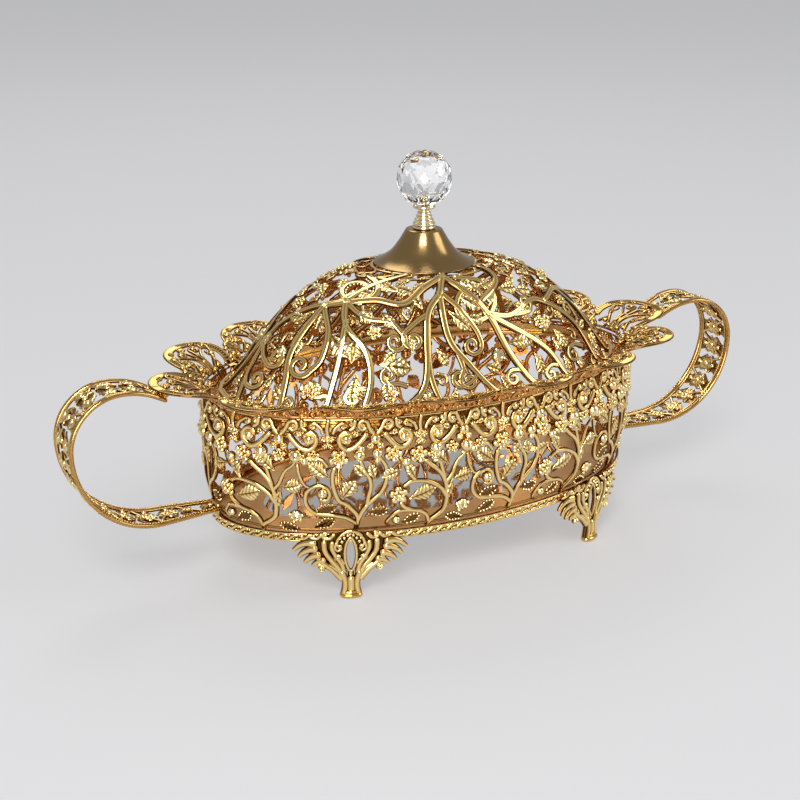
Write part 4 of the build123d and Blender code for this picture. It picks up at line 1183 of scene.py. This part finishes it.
def plate_gold():
    """Gold plate: a satin outer belt round a mirror-bright paler middle, with a sharp edge between."""
    material = metal("plate_gold", (0.82, 0.80, 0.77), (0.88, 0.86, 0.84), (0.03, 0.07), 8, 0.001)
    tree = material.node_tree
    shader = tree.nodes["Principled BSDF"]
    place = add(tree, "TexCoord").outputs["Object"]
    squeeze = add(tree, "VectorMath", {0: place, 1: (6.3, 14.6, 0)}, operation="MULTIPLY").outputs["Vector"]
    reach = add(tree, "VectorMath", {0: squeeze}, operation="LENGTH").outputs["Value"]
    belt = ramp(tree, reach, ((0.0, (0, 0, 0)), (0.60, (0, 0, 0)), (0.605, (1, 1, 1)), (1.0, (1, 1, 1))))
    remix(tree, shader.inputs["Base Color"], belt, (0.95, 0.66, 0.31, 1), data_type="RGBA")
    remix(tree, shader.inputs["Roughness"], belt, 0.34)
    return material


def crystal_glass():
    """Clear lead crystal."""
    material, tree, shader = new_material("cut_crystal")
    feed(tree, shader, {"Base Color": WHITE, "Roughness": 0.0, "IOR": 1.55, "Transmission Weight": 1.0})
    return material


# Set

WORLD_LIGHT = 0.42
FLOOR_TONE = 0.6             # share of the floor that is a plain tone where it is seen
LIT_SPOT = Vector((0, 0, 0.09))
# Lamps: name, place in metres, size and watts
LAMPS = (
    ("key", (-0.9, -1.3, 1.5), 0.8, 27), ("front", (-1.2, -1.7, 0.45), 1.2, 24),
    ("fill", (1.4, -0.9, 1.0), 1.0, 9), ("back", (0.3, 1.2, 1.7), 1.0, 9),
)
# Camera: the photograph's angles, and its place right, back and up from the basket's foot in millimetres
CAMERA_TURN, CAMERA_TILT = math.radians(-28.405), math.radians(19.6055)
CAMERA_PLACE = (-12.75, 816.666, 367.75)
PHOTO_WIDTH = 800
FOCAL_PIXELS = 1570.775
SENSOR = 36


def pale_floor():
    """Pale floor that shows partly as a plain tone, to the eye and in metal and glass."""
    mesh = bpy.data.meshes.new("floor")
    mesh.from_pydata([(-6, -6, 0), (6, -6, 0), (6, 6, 0), (-6, 6, 0)], [], [(0, 1, 2, 3)])
    material, tree, shader = new_material("floor")
    feed(tree, shader, {"Base Color": (0.82, 0.82, 0.83, 1), "Roughness": 0.6})
    pale = add(tree, "Emission", {"Color": (0.57, 0.57, 0.585, 1)})
    path = add(tree, "LightPath")
    seen = path.outputs["Is Camera Ray"]
    for way in ("Is Glossy Ray", "Is Transmission Ray"):
        seen = add(tree, "Math", {0: seen, 1: path.outputs[way]}, operation="MAXIMUM").outputs[0]
    share = add(tree, "Math", {0: seen, 1: FLOOR_TONE}, operation="MULTIPLY").outputs[0]
    mix = add(tree, "MixShader", {0: share, 1: shader.outputs[0], 2: pale.outputs[0]})
    tree.links.new(mix.outputs[0], tree.nodes["Material Output"].inputs["Surface"])
    mesh.materials.append(material)
    placed("floor", mesh)


def plain_world():
    """Plain level of white light all round."""
    world = bpy.data.worlds.new("studio")
    world.use_nodes = True
    tree = world.node_tree
    feed(tree, tree.nodes["Background"], {"Color": WHITE, "Strength": WORLD_LIGHT})
    bpy.context.scene.world = world


def lamp(name, place, size, power):
    """Square lamp turned to the basket."""
    light = bpy.data.lights.new(name, "AREA")
    light.size = size
    light.energy = power
    item = placed(name, light)
    item.location = place
    item.rotation_euler = (LIT_SPOT - Vector(place)).to_track_quat("-Z", "Y").to_euler()


def camera():
    """Camera at the photograph's angle, distance and focal length."""
    ahead = Vector((-math.sin(CAMERA_TURN), math.cos(CAMERA_TURN), 0))
    right = Vector((math.cos(CAMERA_TURN), math.sin(CAMERA_TURN), 0))
    view = bpy.data.cameras.new("camera")
    view.lens = FOCAL_PIXELS * SENSOR / PHOTO_WIDTH
    view.sensor_width = SENSOR
    eye = placed("camera", view)
    eye.location = (right * CAMERA_PLACE[0] - ahead * CAMERA_PLACE[1] + Vector((0, 0, CAMERA_PLACE[2]))) * MM
    look = ahead * math.cos(CAMERA_TILT) - Vector((0, 0, math.sin(CAMERA_TILT)))
    eye.rotation_euler = look.to_track_quat("-Z", "Y").to_euler()
    bpy.context.scene.camera = eye


bpy.context.scene.view_settings.view_transform = "Standard"
gold = carved_gold()
plain = metal("plain_gold", (0.78, 0.50, 0.18), (0.92, 0.66, 0.30), (0.14, 0.26), 14, 0.1)
# The cap's satin gold has its base colour darkened as painted shade, standing in for dark surroundings in its
# reflections
satin = metal("satin_gold", (0.30, 0.19, 0.075), (0.40, 0.27, 0.11), (0.16, 0.26), 10, 0.1)
brass = metal("brass_hardware", (0.62, 0.45, 0.20), (0.78, 0.58, 0.27), (0.2, 0.34), 20, 0.1)
pale_brass = metal("pale_brass", (0.80, 0.64, 0.38), (0.92, 0.79, 0.54), (0.1, 0.2), 14, 0.05)
build_wall(gold)
build_trim(gold)
build_rim(gold)
build_lid(gold)
build_handles(gold)
build_feet(gold)
build_cap(satin)
build_neck(pale_brass)
build_crystal(crystal_glass())
for node, material in (("base_plate", plate_gold()), ("lid_seat", plain), ("lid_band", plain),
                       ("knob_stud", brass), ("stud_nut", brass)):
    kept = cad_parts[node].data.materials
    kept.clear()
    kept.append(material)
pale_floor()
plain_world()
for each in LAMPS:
    lamp(*each)
camera()
